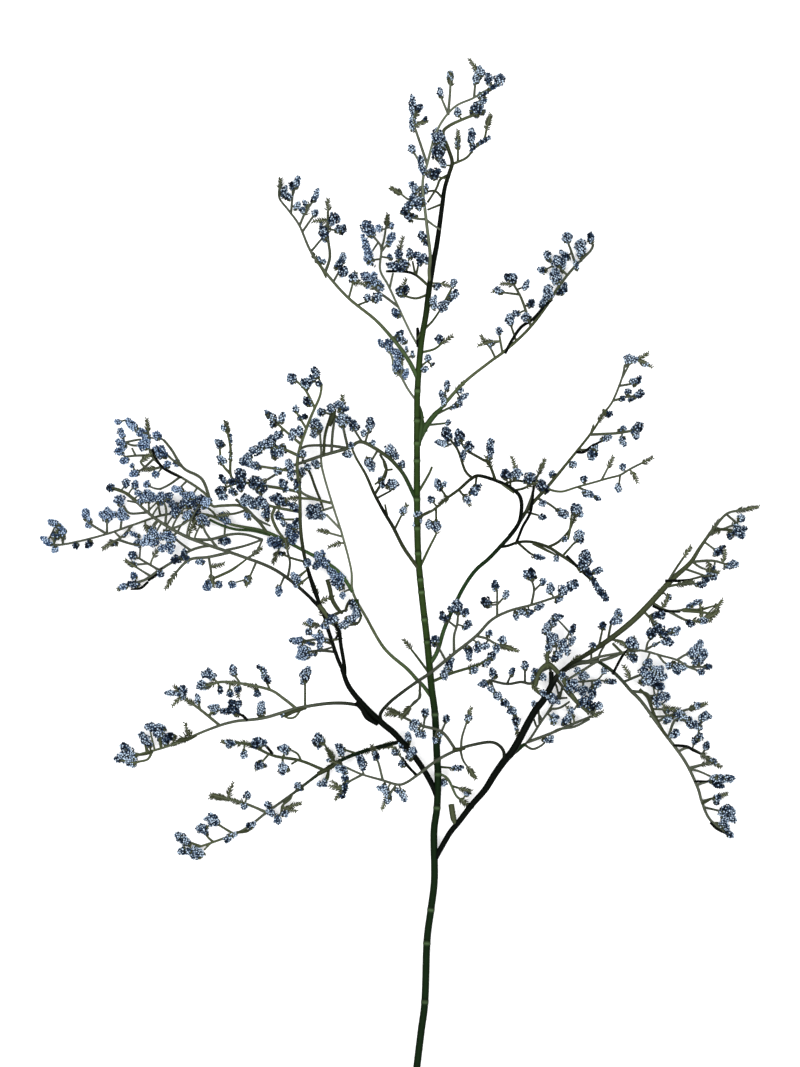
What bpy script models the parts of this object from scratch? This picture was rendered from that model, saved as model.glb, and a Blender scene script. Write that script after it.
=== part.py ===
"""Dried statice: one cut spray, lying on a surface with its face upwards.

The spray is laid out on a sheet in millimetres: x to the right, y from the cut end to the tip, z up from
the surface. Each part of it is a route of hand-chosen points, twigs that grow from the route, small
egg-shaped heads of buds and green comb-like sprigs. All of them are joined in one solid for each spray.
"""

import math
import random

import bmesh
import bpy
from mathutils import Matrix, Vector

# Driving dimensions, in millimetres unless the name says otherwise.
MM = 0.001
SHEET_MIDDLE = (-16.2, 406.9)
FIT_GAP = 0.3
STEM_RADIUS = 2.8
STEM_SIDES = 8
BRANCH_SIDES = 6
THIN_BRANCH_SIDES = 4
THIN_BRANCH_RADIUS = 1.45
TWIG_SIDES = 3
TWIG_LEAST_LENGTH = 10.0
TWIG_RADIUS = 0.7
TWIG_TAPER = 0.8
TWIG_THICKENING = 0.006
TWIG_MOST_RADIUS = 1.05
TWIG_RISE = 0.22
HEAD_RISE = 0.3
HEAD_MOST_RISE = 3.5
HEAD_ROOT_SUNK = 0.2
ROOT_INSET = 0.7
HEAD_LEAST_LENGTH = 7.5
BUD_LEAST = 0.78
BUD_MOST = 1.16
SPRIG_LENGTH = 11.0
SPRIG_WIDTH = 5.0
SPRIG_THICKNESS = 0.8
SPRIG_TEETH = 2
SPRIGS_KEPT = 3
SPRIG_STEM_HALF_WIDTH = 0.45
RING_SWELL = 0.45
RING_HALF_WIDTH = 1.6
HEAD_SEED = 41

STEM_GREEN = (0.045, 0.085, 0.03)
BRANCH_GREEN = (0.02, 0.035, 0.018)
HEAD_BLUE = (0.13, 0.2, 0.36)


def clear_scene():
    for obj in list(bpy.data.objects):
        bpy.data.objects.remove(obj, do_unlink=True)


def plain_material(name, colour, roughness):
    material = bpy.data.materials.new(name)
    material.use_nodes = True
    shader = material.node_tree.nodes["Principled BSDF"]
    shader.inputs["Base Color"].default_value = (*colour, 1.0)
    shader.inputs["Roughness"].default_value = roughness
    material.diffuse_color = (*colour, 1.0)
    return material


def placed(point):
    """A point of the sheet, in metres, round the part's origin."""
    x, y, z = point
    return Vector(((x - SHEET_MIDDLE[0]) * MM, (y - SHEET_MIDDLE[1]) * MM, z * MM))


def main_stem():
    """The thick stem from the cut end to the forked tip, with the short twigs of its own."""
    return {
        "name": "main_stem",
        "radii": (STEM_RADIUS, 2.75, 2.5, 2.3, 1.9, 0.9),
        "route": [
            (-4, 0, 2.587), (0.8, 40, 2.587), (4, 66, 3.5), (5.6, 113, 6), (8.8, 139, 8.5),
            (11.6, 164, 11), (11.2, 201, 15), (13.6, 221, 17), (14.4, 247, 20), (13.6, 262, 22),
            (12, 296, 26), (9.2, 318, 28.5), (6, 352, 32), (1.2, 394, 36.5), (-1.6, 426, 39.5),
            (-2.4, 468, 43.5), (-2.4, 500, 46), (-2.4, 532, 48.5), (-2, 556, 50.5), (0.8, 592, 53.5),
            (4.8, 616, 55.5), (7.2, 636, 57), (10.4, 656, 58.5), (13.6, 673, 60), (17.6, 702, 62),
            (19.6, 716, 63), (23.2, 728, 64), (25.6, 737, 64), (22.4, 748, 64), (18.4, 760, 64),
            (23.2, 766, 64), (36, 772, 64), (41.6, 774, 64),
        ],
        "rings": [139, 221, 262, 352, 394, 468, 532],
        "twigs": [
            [(25.6, 735), (37.6, 741), (44, 751)],
            [(42, 747), (50.4, 754), (53.6, 766)],
            [(30.4, 737), (30.4, 752)],
            [(16.8, 704), (6, 699)],
            [(16.8, 708), (12, 714), (3.5, 713)],
            [(4, 603), (9.6, 610), (16, 619)],
            [(3.2, 585), (11.2, 588), (18, 593)],
            [(1.6, 573), (6.4, 579)],
            [(6.4, 638), (-4.8, 648), (-16, 650), (-27, 650)],
            [(5.6, 632), (-3.2, 628.5), (-14, 631)],
            [(-0.8, 472), (6.4, 487), (9.6, 494)],
            [(0.5, 413), (7.2, 429), (12.8, 440)],
            [(8, 327.6), (-0.8, 340), (-7, 348)],
            [(11.2, 322), (25.6, 329), (44.8, 335), (52, 339)],
            [(15, 254), (26, 253)],
            [(15, 249), (22.4, 244), (28.8, 231), (33.6, 227)],
            [(1.5, 604), (-2.5, 596)],
            [(-2.4, 526), (3, 534)],
        ],
        "heads": [
            (41, 757, 16, 6.4), (15.2, 754, 22, 11, -12), (30, 777, 8, 6.4), (45, 780, 13, 9.6, 50),
            (3, 715, 8, 6.4), (9.6, 727, 11, 8), (18.4, 622, 9.6, 9), (25.6, 629, 14.4, 5, 50),
            (10.4, 627, 9.6, 5), (13.6, 638, 6.4, 6), (15.2, 596, 8, 6.4), (6.4, 581, 6.4, 6),
            (-8, 664, 9.6, 6.4), (-1.6, 662, 9.6, 6.4), (-19, 654, 17, 8, -80), (-17, 663, 9.6, 6.4),
            (-16, 633, 9.6, 6.4), (-0.8, 453, 12.8, 6, 10), (24, 337, 14.4, 6.4), (19, 328, 8, 6),
            (56.8, 342, 7, 7), (43, 331, 8, 5.6), (30, 253, 11, 5, 85), (19, 241, 6.4, 6),
            (38, 233, 6.4, 6),
        ],
        "sprigs": [
            (54.5, 769), (30.4, 757), (49, 785), (-14, 672), (21.6, 638), (-12, 639), (13, 445),
            (-9, 350), (33, 223),
        ],
    }


def leader():
    """The thin olive leader, which runs beside the stem and ends highest."""
    return {
        "name": "leader",
        "parent": "main_stem",
        "radii": (1.3, 1.2, 1.0, 0.8, 0.7),
        "route": [
            (8, 639.6, 57), (7.2, 650, 61.5), (8, 663, 66), (4.8, 691, 73), (2, 719, 77),
            (5.6, 735, 78), (13.6, 762, 79), (26.8, 780, 79), (43, 788, 79), (61, 799, 78),
        ],
        "twigs": [
            [(20.8, 775), (24, 794), (24, 803)],
            [(20.8, 775), (16, 790)],
            [(43.2, 787.6), (44, 799), (46, 806)],
            [(5, 735), (-2.4, 759), (-5.6, 768)],
            [(3.2, 729), (-2.4, 740), (-6, 746)],
            [(2.5, 710), (-8, 706.8), (-15, 711)],
            [(6, 672), (1.6, 678)],
        ],
        "heads": [
            (24, 805, 9.6, 6.4), (16, 792, 9.6, 5.6), (46.4, 807, 14.4, 8), (54.4, 803, 11, 6.4),
            (63, 802, 11, 9.6, 30), (48, 790, 6.4, 6), (-5.6, 780, 22, 6.4, -5), (-6.4, 747, 8, 6.4),
            (0.8, 736, 12.8, 5.6, -10), (-4.8, 717, 11, 5.6), (-1.6, 705, 12.8, 9.6), (-9, 702, 8, 7),
            (-10.4, 695, 14.4, 5.6, -30), (1.6, 678, 9.6, 6.4),
        ],
        "sprigs": [(29, 797), (41.6, 814), (-1, 777), (-17, 712)],
    }


def thin_back_spray():
    """A thin grey-green spray behind the others, upper left."""
    return {
        "name": "thin_back_spray",
        "parent": "main_stem",
        "radii": (0.85, 0.8, 0.7, 0.7, 0.6),
        "route": [
            (0, 588, 53.2), (-8, 602, 48), (-20, 627.6, 41), (-25.6, 639.6, 38), (-32, 652, 36),
            (-31, 669, 34), (-36, 677, 34),
        ],
        "twigs": [
            [(-36, 677), (-41, 684)],
            [(-31.2, 668), (-28.8, 676), (-27.2, 686)],
            [(-31.2, 666), (-24, 675)],
            [(-17.6, 622), (-25.6, 628.4), (-36, 636.4), (-39.2, 643.6)],
            [(-24, 637), (-21.6, 649)],
        ],
        "heads": [
            (-41.6, 684, 16, 9.6, -25), (-23.2, 677, 11, 7, 30), (-42, 668, 26, 6.4, -19),
            (-38.8, 643, 20.8, 8.8, -53), (-19.2, 617, 9.6, 7), (-32.8, 685, 6.4, 6),
        ],
        "sprigs": [(-27, 690), (-22, 685)],
    }


def upper_left_spray():
    return {
        "name": "upper_left_spray",
        "parent": "main_stem",
        "radii": (1.7, 1.2, 1.1, 0.9, 0.65),
        "route": [
            (-1.6, 564, 51), (-7.2, 575.6, 53.5), (-14.4, 587, 55.5), (-22.4, 597, 57),
            (-36, 611.6, 58), (-56.8, 628.4, 57), (-72.8, 646, 54), (-87.2, 666, 47), (-96.4, 687, 36),
            (-104.8, 699, 28), (-112.8, 710, 18), (-112, 722, 10),
        ],
        "twigs": [
            [(-103, 697), (-102, 712)],
            [(-96, 687), (-92, 697), (-84.8, 708)],
            [(-94, 682), (-85, 695)],
            [(-87.2, 666), (-78, 677)],
            [(-75.2, 650), (-72, 662), (-73.6, 678), (-73.6, 698)],
            [(-69, 642), (-62, 655)],
            [(-57, 628.5), (-53, 643)],
            [(-50, 623), (-40, 627)],
            [(-22.4, 597), (-17, 599)],
        ],
        "heads": [
            (-109, 715, 11, 5), (-105, 710, 6.4, 6), (-98.4, 722, 11, 5.6), (-102.4, 719, 8, 5.6),
            (-98.4, 703, 8, 5.6, 40), (-83, 712, 11, 5), (-93.6, 699, 6.4, 6), (-84, 697, 6.4, 6),
            (-76.8, 680.4, 12.8, 8), (-68.8, 692, 11, 9.6), (-65, 684, 8, 7), (-81, 659, 6.4, 6),
            (-61.6, 661, 9.6, 6.4), (-61.6, 650, 9.6, 8), (-52.8, 645, 9.6, 8), (-42, 629, 7, 6),
            (-34.4, 629, 9.6, 8), (-16.8, 599, 11, 6.4),
        ],
        "sprigs": [(-80, 690), (-73.6, 702), (-48, 640)],
    }


def small_back_spray():
    """A small pale clump behind the upper left spray."""
    return {
        "name": "small_back_spray",
        "parent": "main_stem",
        "radii": (0.9, 0.9, 0.7),
        "route": [
            (-2.4, 546, 49.6), (-9.6, 556, 44), (-15.2, 566, 39), (-20.8, 572, 36), (-22.4, 582, 34),
            (-27, 590, 33),
        ],
        "twigs": [[(-15.2, 566), (-14, 578)]],
        "heads": [
            (-31, 593, 8, 5), (-25, 592, 9.6, 8), (-18, 576, 17, 8), (-12, 568.4, 9.6, 6.4),
            (-15.2, 582, 6.4, 6),
        ],
        "sprigs": [],
    }


def upper_right_spray():
    """A long spray that falls to the surface at its outer end."""
    return {
        "name": "upper_right_spray",
        "parent": "main_stem",
        "radii": (1.6, 1.2, 1.1, 1.1, 0.9),
        "route": [
            (-2.4, 511, 46.8), (4.8, 525, 46), (12.8, 536, 45), (33.6, 560, 41), (54.4, 577, 36),
            (68, 587, 32), (86.4, 604, 26), (101.6, 623.6, 19), (112, 640, 14), (124.8, 655.6, 10),
            (136.8, 667.6, 6.5), (139, 673, 5),
        ],
        "twigs": [
            [(65.6, 586), (63, 602)],
            [(77, 595), (72, 610)],
            [(88.8, 607), (81.6, 628), (75.2, 640)],
            [(79, 632), (64, 634)],
            [(112, 640), (104, 662)],
            [(118, 648), (110, 656)],
            [(124.8, 656), (121, 668), (118, 676)],
            [(7.2, 527), (21, 529)],
            [(12.8, 536), (23, 541), (29, 543)],
            [(22, 547), (19, 552)],
        ],
        "heads": [
            (56.8, 593, 6.4, 6), (63.2, 603, 7, 6), (72, 612, 11, 8), (77, 617, 6.4, 6),
            (85, 614, 8, 8), (74.4, 645, 9.6, 8), (63, 635, 8, 6), (85, 640, 9.6, 5),
            (88.8, 625, 8, 6.4), (103, 634, 12.8, 8), (98, 624, 6.4, 6), (115, 637, 11, 6.4, 25),
            (108.8, 647, 14.4, 10), (102.4, 663, 9.6, 6.4), (110, 659, 11, 8), (116, 664, 11, 5.6),
            (98, 652, 8, 6.4), (129, 669, 17.6, 9), (118, 678, 9.6, 9), (137, 678, 9.6, 6.4),
            (21.6, 559, 9.6, 5), (18, 551, 9.6, 5.6), (29, 543, 11, 5, 70), (34.5, 550, 11, 5, 60),
            (22.5, 529.5, 5, 4.5),
        ],
        "sprigs": [(52, 592), (70, 640)],
    }


def arched_middle_spray():
    return {
        "name": "arched_middle_spray",
        "parent": "main_stem",
        "radii": (1.5, 1.4, 1.3, 1.2, 0.8),
        "route": [
            (-2.4, 466, 43.5), (-12, 486, 43), (-19.2, 495.6, 42), (-28, 503.6, 41), (-46.4, 514, 40),
            (-57.6, 509, 39.5), (-78.4, 503, 39), (-96, 497, 38), (-107, 493, 37), (-122, 484, 35),
        ],
        "twigs": [
            [(-46, 514), (-54, 526)],
            [(-44, 513), (-40, 526)],
            [(-57.6, 509), (-62, 529), (-62, 541)],
            [(-62, 525), (-71, 540)],
            [(-68, 535), (-78, 538)],
            [(-34, 507), (-40, 497)],
        ],
        "heads": [
            (-24, 507, 11, 9), (-40, 496, 12.8, 8, 160), (-52.8, 527, 9.6, 8), (-40, 528, 12.8, 7),
            (-62.4, 531, 12.8, 10), (-71, 541, 8, 7), (-62.4, 543, 6.4, 6), (-79, 538, 7, 7, -60),
            (-14.4, 496, 6.4, 6),
        ],
        "sprigs": [(-57, 541), (-124, 480)],
    }


def straight_middle_spray():
    return {
        "name": "straight_middle_spray",
        "parent": "main_stem",
        "radii": (1.1, 1.1, 1.1, 1.0, 0.8),
        "route": [
            (0, 411, 38.2), (-12.8, 429, 46), (-21.6, 446, 51), (-28.8, 458, 54), (-36.8, 473, 56),
            (-43.2, 487.6, 57), (-51, 501, 58), (-54.4, 509, 58),
        ],
        "twigs": [
            [(-36, 472), (-28, 486), (-27.2, 495), (-32, 504)],
            [(-34.4, 469), (-23.2, 475)],
            [(-25.6, 453), (-28, 464)],
            [(-20, 444), (-14, 457)],
        ],
        "heads": [(-21.5, 480, 9.6, 8), (-31, 483, 8, 5.6), (-13.6, 459, 6.4, 6), (-55, 511, 6.4, 4.5)],
        "sprigs": [(-19, 456)],
    }


def long_left_branch():
    """The long green branch, which leans left and then turns straight up."""
    return {
        "name": "long_left_branch",
        "parent": "main_stem",
        "radii": (1.5, 1.2, 0.9, 0.85, 0.75),
        "route": [
            (10.5, 308, 27.3), (3.2, 318, 24), (-2.4, 323.6, 22), (-10.4, 332.4, 20), (-28.8, 349, 18),
            (-44, 375, 17), (-50.4, 386, 17), (-54.4, 396.4, 18), (-55.2, 412, 18.5), (-62.4, 440, 20),
            (-70.4, 465, 22), (-78.4, 493, 23), (-79.2, 508, 24), (-80, 520, 24),
        ],
        "twigs": [
            [(-70.4, 465), (-82, 468), (-95, 474), (-96, 484)],
            [(-69.6, 462), (-82, 458)],
            [(-63, 438), (-72, 441)],
        ],
        "heads": [(-84, 458, 16, 10, -60), (-95, 490, 8, 7), (-84, 497, 6.4, 6), (-81.5, 526, 9.6, 8)],
        "sprigs": [(-74, 442), (-68, 431)],
    }


def far_left_spray():
    """The longest side spray, which reaches furthest left, low over the surface."""
    return {
        "name": "far_left_spray",
        "parent": "long_left_branch",
        "radii": (1.4, 1.2, 1.0, 0.75, 0.6),
        "route": [
            (-54, 394, 17.8), (-62.4, 407, 16), (-72.8, 416, 15), (-96.8, 429, 14), (-123, 442, 13),
            (-151, 448, 12), (-172, 456, 11.5), (-201.6, 456.4, 11), (-230.4, 447.6, 10),
            (-251, 440.4, 9), (-276, 434, 8), (-292, 431.6, 7), (-302, 434.8, 6.5),
        ],
        "twigs": [
            [(-251.2, 440.4), (-266.4, 450), (-268, 454)],
            [(-251, 441), (-251, 455)],
            [(-240, 444), (-239, 458), (-240.8, 465)],
            [(-230.4, 447), (-238.4, 438.8), (-246, 434)],
            [(-156, 449.5), (-157, 437)],
            [(-110, 435.5), (-114, 426)],
        ],
        "heads": [
            (-78.4, 419, 18, 9, -45), (-66.5, 402, 16, 9, -35), (-301, 436, 8, 5, -60),
            (-288, 443, 14.4, 6.4, -20), (-293, 428, 6.4, 6, -140), (-276, 431, 5.6, 5.6),
            (-265.6, 432, 8, 6.4), (-268, 456, 11, 7), (-251, 456, 12.8, 8), (-239, 456, 11, 8),
            (-241, 467, 9.6, 9), (-102.4, 442, 14.4, 10, -20), (-117, 434, 11, 7, -120),
            (-157, 435, 8, 5.6, 180), (-158, 454, 8, 7),
        ],
        "sprigs": [(-292, 439), (-247, 432), (-115, 424)],
    }


def far_left_upper_spray():
    """Two twigs side by side, which rise over the far left sprays."""
    return {
        "name": "far_left_upper_spray",
        "parent": "far_left_spray",
        "radii": (1.1, 1.1, 1.0, 0.9, 0.7),
        "route": [
            (-123, 442, 13), (-129, 450, 23), (-137.6, 458, 36), (-144, 463, 45), (-158.4, 463, 54),
            (-166, 463, 56), (-172, 473, 56), (-189.6, 485, 56), (-204, 493, 56), (-215, 504.4, 56),
            (-217, 522, 56),
        ],
        "twigs": [
            [(-167, 464), (-174, 484), (-188.8, 493), (-198.4, 507.6), (-204.8, 515.6)],
            [(-214, 503), (-226, 503), (-236, 502)],
            [(-216, 513), (-228, 511), (-237, 514)],
            [(-217, 521), (-224, 522), (-234, 532)],
            [(-212, 501), (-222, 492), (-229, 489)],
        ],
        "heads": [
            (-230, 528, 14, 6.4, -47), (-241, 530, 6, 5), (-239, 522, 6.4, 6), (-239, 513, 9.6, 6.4),
            (-240, 506, 8, 7, -60), (-236, 499, 8, 6.4, -100), (-224, 521, 6.4, 6), (-221, 511, 9.6, 8),
            (-228, 489, 9.6, 6.4, -110), (-211, 488, 6.4, 6), (-209.6, 519, 8, 6.4), (-207, 506, 11, 9),
            (-201.6, 496, 6.4, 6), (-194.4, 497, 6.4, 6),
        ],
        "sprigs": [(-217, 524)],
    }


def low_left_branch():
    """The thick dark branch that most of the left side grows from."""
    return {
        "name": "low_left_branch",
        "parent": "main_stem",
        "radii": (2.1, 2.1, 2.3, 2.2, 1.7),
        "route": [
            (14, 229, 18), (10.4, 238, 18.3), (4.8, 248.4, 19.5), (-3.2, 260.4, 21), (-12, 271, 23),
            (-20.8, 281, 25.5), (-30.4, 289, 28), (-44.8, 303, 31), (-56.8, 318, 33.5),
            (-62.4, 332.4, 35),
        ],
        "twigs": [[(-9, 267), (-10, 275)]],
        "heads": [(-9.5, 277, 11, 5.6), (-6, 266, 8, 6.5, 80)],
        "sprigs": [],
    }


def tall_left_spray():
    """The tallest spray of the left side, in front of the others."""
    return {
        "name": "tall_left_spray",
        "parent": "low_left_branch",
        "radii": (1.4, 1.4, 1.3, 1.2, 0.9),
        "route": [
            (-60.4, 325, 34.5), (-60.4, 334, 40), (-63.2, 351, 47), (-66, 366, 51), (-78.4, 381, 55),
            (-83.2, 394, 58), (-91.2, 418, 62), (-95.2, 443, 65), (-96, 472, 67), (-98, 495, 68),
            (-95, 512, 68), (-87, 534, 68), (-80, 550, 68), (-78.4, 560, 68),
        ],
        "twigs": [
            [(-65.6, 364), (-60, 368), (-53, 374)],
            [(-67, 366.5), (-71, 372)],
            [(-84, 541), (-92, 556), (-102, 565)],
            [(-90, 524), (-99, 538)],
            [(-95, 512), (-105.6, 521), (-119, 533)],
            [(-97.6, 503), (-112, 509), (-128, 509), (-141, 498)],
            [(-97.6, 490), (-112, 492), (-132, 495)],
            [(-96.4, 474), (-112, 477), (-131, 480), (-146, 483), (-151, 488), (-151, 508), (-153, 520)],
            [(-144, 481), (-158, 476)],
            [(-151, 488), (-158, 497), (-160, 511)],
            [(-95.6, 458), (-112, 461), (-128, 465), (-138, 467)],
        ],
        "heads": [
            (-53, 374, 11, 5.6, 20), (-70.4, 372, 9.6, 7), (-59, 369, 9.6, 6), (-103, 565, 8, 7),
            (-91, 560, 11, 9), (-83.2, 569, 11, 6.4, -20), (-90, 546, 9.6, 7), (-99, 540, 7, 5.6),
            (-119, 534, 15, 6.4, -41), (-101, 521, 8, 7), (-140, 499, 10, 8, -120),
            (-131, 507, 11, 8, -80), (-121, 512, 11, 8, -60), (-113, 519, 8, 7),
            (-111, 507, 11, 9, -150), (-132, 495, 8, 7, -90), (-114, 491, 8, 6.4), (-104, 495, 11, 7),
            (-109, 480, 8, 7), (-112, 467, 17, 8, -70), (-101, 462, 8, 7), (-143, 487, 12.8, 10),
            (-157, 484, 9.6, 5), (-159, 475, 9.6, 8, -100), (-131, 481, 12.8, 10),
            (-138.4, 468, 11, 9, -90), (-127, 466, 10, 9), (-160, 512, 8, 6.4), (-158.4, 499, 8, 6.4),
            (-124, 456, 6.4, 6, 180), (-113, 455, 7, 6.4, 180),
        ],
        "sprigs": [(-110, 532), (-155, 523), (-149, 521)],
    }


def far_left_middle_spray():
    """The broad spray between the far left ones, with the clump below its first bend."""
    return {
        "name": "far_left_middle_spray",
        "parent": "low_left_branch",
        "radii": (1.5, 1.3, 1.2, 1.2, 0.9),
        "route": [
            (-61, 330, 34.8), (-66, 341, 36), (-73.6, 364, 38), (-79.2, 380, 39), (-98.4, 399, 39),
            (-118.4, 413, 38), (-144, 423, 38), (-169.6, 431.6, 38), (-189.6, 439.6, 38),
            (-212, 453, 38), (-230.4, 469, 38), (-240.8, 476, 38), (-248, 477, 38),
        ],
        "twigs": [
            [(-70, 352), (-82, 356), (-96, 354)],
            [(-68, 346), (-80, 347), (-92, 346)],
            [(-74, 366), (-88, 368)],
            [(-105.6, 405), (-104, 417), (-106, 427)],
            [(-131, 418), (-137, 404)],
            [(-152, 426), (-169, 422), (-184, 420), (-194, 411), (-198, 405)],
            [(-169, 422), (-167, 408), (-169, 400)],
            [(-108, 407), (-113, 396)],
        ],
        "heads": [
            (-88, 370, 6.4, 6), (-97, 355, 9.6, 6.4, -80), (-93, 346, 11, 9, -100),
            (-80, 357, 14, 5, -70), (-247, 478, 6.4, 6), (-235, 481, 8, 6.4), (-228, 480, 8, 6),
            (-218.4, 471, 11, 9), (-208, 469, 11, 9), (-223, 467, 6.4, 6), (-200, 471, 6.4, 6),
            (-196, 458, 9.6, 8), (-185, 467, 14.4, 12), (-175, 467, 9.6, 8), (-186, 455, 9.6, 8),
            (-174.4, 451, 11, 9), (-214, 443, 8, 7, 160), (-218, 436, 14, 8, -130),
            (-201.6, 439, 11, 9, 150), (-200, 430, 11, 8, 170), (-99, 405, 12.8, 6.4, -40),
            (-113, 395, 9.6, 6.4, 180), (-138, 403, 8, 7, 180), (-176, 418, 8, 4.5, -90),
            (-170, 399, 9.6, 8, 190), (-161, 400, 6.4, 6, 150),
        ],
        "sprigs": [(-181, 447), (-107, 430), (-199, 402), (-163, 410)],
    }


def far_left_low_spray():
    """A side spray that comes down to the surface on the left."""
    return {
        "name": "far_left_low_spray",
        "parent": "far_left_middle_spray",
        "radii": (1.0, 1.0, 1.1, 0.9),
        "route": [
            (-167, 431, 38), (-175, 430, 34), (-184, 427, 27), (-192, 422, 21), (-200, 417, 16),
            (-209.6, 411, 11), (-220, 404, 7.5), (-236.8, 398, 5),
        ],
        "twigs": [
            [(-209.6, 412), (-225.6, 421)],
            [(-216, 406.5), (-228, 414)],
        ],
        "heads": [
            (-230.4, 423, 8, 7, -50), (-229.6, 407, 7, 5.6, -40), (-208, 409, 7, 6, 180),
            (-238, 398, 7, 6, -90),
        ],
        "sprigs": [(-231, 415), (-233, 401)],
    }


def lower_left_spray():
    return {
        "name": "lower_left_spray",
        "parent": "low_left_branch",
        "radii": (1.3, 1.3, 1.15, 1.0, 0.75),
        "route": [
            (-43, 301, 30.6), (-50.4, 303.5, 31), (-61.6, 305, 30), (-76.8, 304.4, 29),
            (-100, 300.4, 28), (-125.6, 293, 26), (-149.6, 290, 24), (-169.6, 283.6, 22),
            (-200, 271, 19), (-225.6, 263.6, 16),
        ],
        "twigs": [
            [(-92, 302), (-92, 325)],
            [(-138.4, 291.6), (-146, 298)],
            [(-99, 301), (-108.8, 308.4), (-120, 315.6), (-141, 320.4), (-159, 322), (-170, 319)],
            [(-160, 287), (-176.8, 300.4), (-188, 308.4), (-192, 313)],
            [(-176, 299.5), (-178, 307)],
            [(-120, 315.6), (-125, 327)],
            [(-144, 320), (-150, 330)],
            [(-162, 322), (-168, 327)],
        ],
        "heads": [
            (-92, 327, 11, 9), (-109, 296, 6.4, 5, -120), (-127, 300, 9.6, 6.4),
            (-149, 301, 15, 8, -20), (-164, 300, 9.6, 6, 30), (-212, 284, 14, 8, -50),
            (-206, 276, 13, 8, -30), (-220, 275, 9.6, 8, -20), (-237, 270, 8, 7, -50),
            (-235, 261, 16, 9, -75), (-125, 328.4, 12.8, 5.6), (-149.6, 331, 11, 6.4),
            (-168, 328, 11, 6), (-173.6, 319, 9.6, 6.4, -70), (-160, 315.4, 7, 5, 180),
            (-152, 313, 7, 6, 180), (-190, 315, 9.6, 7), (-200, 313, 9.6, 5, -90), (-178, 308, 9.6, 5),
            (-130.4, 313, 7, 6, 180),
        ],
        "sprigs": [(-186, 284), (-145, 315), (-194, 307)],
    }


def lowest_left_spray():
    return {
        "name": "lowest_left_spray",
        "parent": "low_left_branch",
        "radii": (1.4, 1.4, 1.0, 1.0, 0.8),
        "route": [
            (-15, 274.5, 24), (-24.8, 271.6, 21), (-36, 269, 19), (-56.8, 262, 16), (-76.8, 251, 13.5),
            (-100.8, 233, 11), (-123, 217, 9), (-141.6, 203, 8), (-166.4, 193, 7), (-180, 188.6, 6.5),
        ],
        "twigs": [
            [(-67, 256), (-76.8, 272)],
            [(-50, 264), (-62, 268)],
            [(-72, 253.5), (-76, 243)],
            [(-103, 231.6), (-108.8, 225), (-112, 215)],
            [(-149.6, 200), (-166, 210)],
            [(-166, 206), (-174, 204)],
            [(-176, 190), (-190, 195)],
            [(-76.8, 251), (-96, 258.8), (-117.6, 262.8), (-136.8, 271.6), (-149, 273)],
            [(-110, 261.5), (-110, 253)],
            [(-121, 264), (-128, 256)],
            [(-123, 217.5), (-138.4, 223.6), (-158, 229)],
        ],
        "heads": [
            (-80.8, 276, 11, 6.4), (-64, 269, 9.6, 6.4, -50), (-76.5, 241, 7, 5, 180),
            (-98, 239, 6.4, 6), (-114, 211, 7, 7, 190), (-107.5, 216, 6.4, 5, 160), (-121.6, 223, 7, 6),
            (-136.8, 206, 6.4, 6), (-154, 196, 8, 6, -150), (-166.4, 212, 10.4, 8),
            (-175, 204, 9.6, 8, -90), (-190.4, 196, 11, 8, -60), (-191, 186, 8, 6.4, -110),
            (-181, 186.5, 9, 8, -150), (-108, 268, 9.6, 6), (-110, 251.5, 9.6, 7, 190),
            (-129, 255, 8, 6.4, 200), (-141, 264, 8, 6, 190), (-129.6, 273, 11, 7),
            (-152, 273, 9.6, 5.6, -80), (-138.4, 231, 7, 6), (-141, 222, 5.6, 5.6, 200),
        ],
        "sprigs": [(-104, 220), (-163, 229), (-151, 236)],
    }


def right_crossing_spray():
    """The spray that starts on the low left branch and crosses in front of the main stem."""
    return {
        "name": "right_crossing_spray",
        "parent": "low_left_branch",
        "radii": (1.25, 1.2, 1.2, 1.05, 0.9),
        "route": [
            (-31, 290, 28.3), (-31.5, 297, 34), (-24, 306, 41), (-12.8, 315, 46), (-1.6, 323, 50),
            (8.8, 330, 52), (27.2, 345, 54), (44.8, 359, 54), (56.8, 371.6, 54), (71.2, 379, 53),
            (89.6, 384, 52), (108, 390, 51), (113.6, 392.4, 51),
        ],
        "twigs": [
            [(27, 345), (27.2, 359), (29.6, 368), (30.4, 377)],
            [(20, 340), (12.5, 354)],
            [(28.5, 366), (20, 373)],
            [(61.6, 374), (61.6, 395)],
            [(61.6, 384), (68, 391)],
            [(89, 384), (91, 396), (89, 404)],
            [(91, 395), (97, 401)],
            [(44.8, 359), (52.8, 357), (60, 353), (69, 350)],
            [(0, 324), (-0.8, 310), (-7, 303)],
        ],
        "heads": [
            (114, 395, 9.6, 9), (121, 399, 12.8, 8, 50), (29.6, 382, 12.8, 9), (36, 378, 8, 7),
            (19, 374, 11, 5), (37.6, 367.6, 9.6, 6.4), (12, 356, 7, 7), (60, 399, 9.6, 6.4),
            (52.8, 386, 9.6, 8), (68.5, 392, 8, 5.6), (88.8, 408, 11, 9), (98, 402, 6.4, 6),
            (104, 397, 9.6, 7), (84.8, 377, 9, 5.6, 150), (76.8, 375, 8, 5, 170), (95, 382, 9.6, 5.6),
            (55.2, 361, 6.4, 6), (61, 349, 8, 6, 170), (66, 356, 7, 7), (46, 350, 9.6, 7, 190),
            (39, 346, 11, 6.4, 170),
        ],
        "sprigs": [(71, 350), (-9, 300)],
    }


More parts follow.
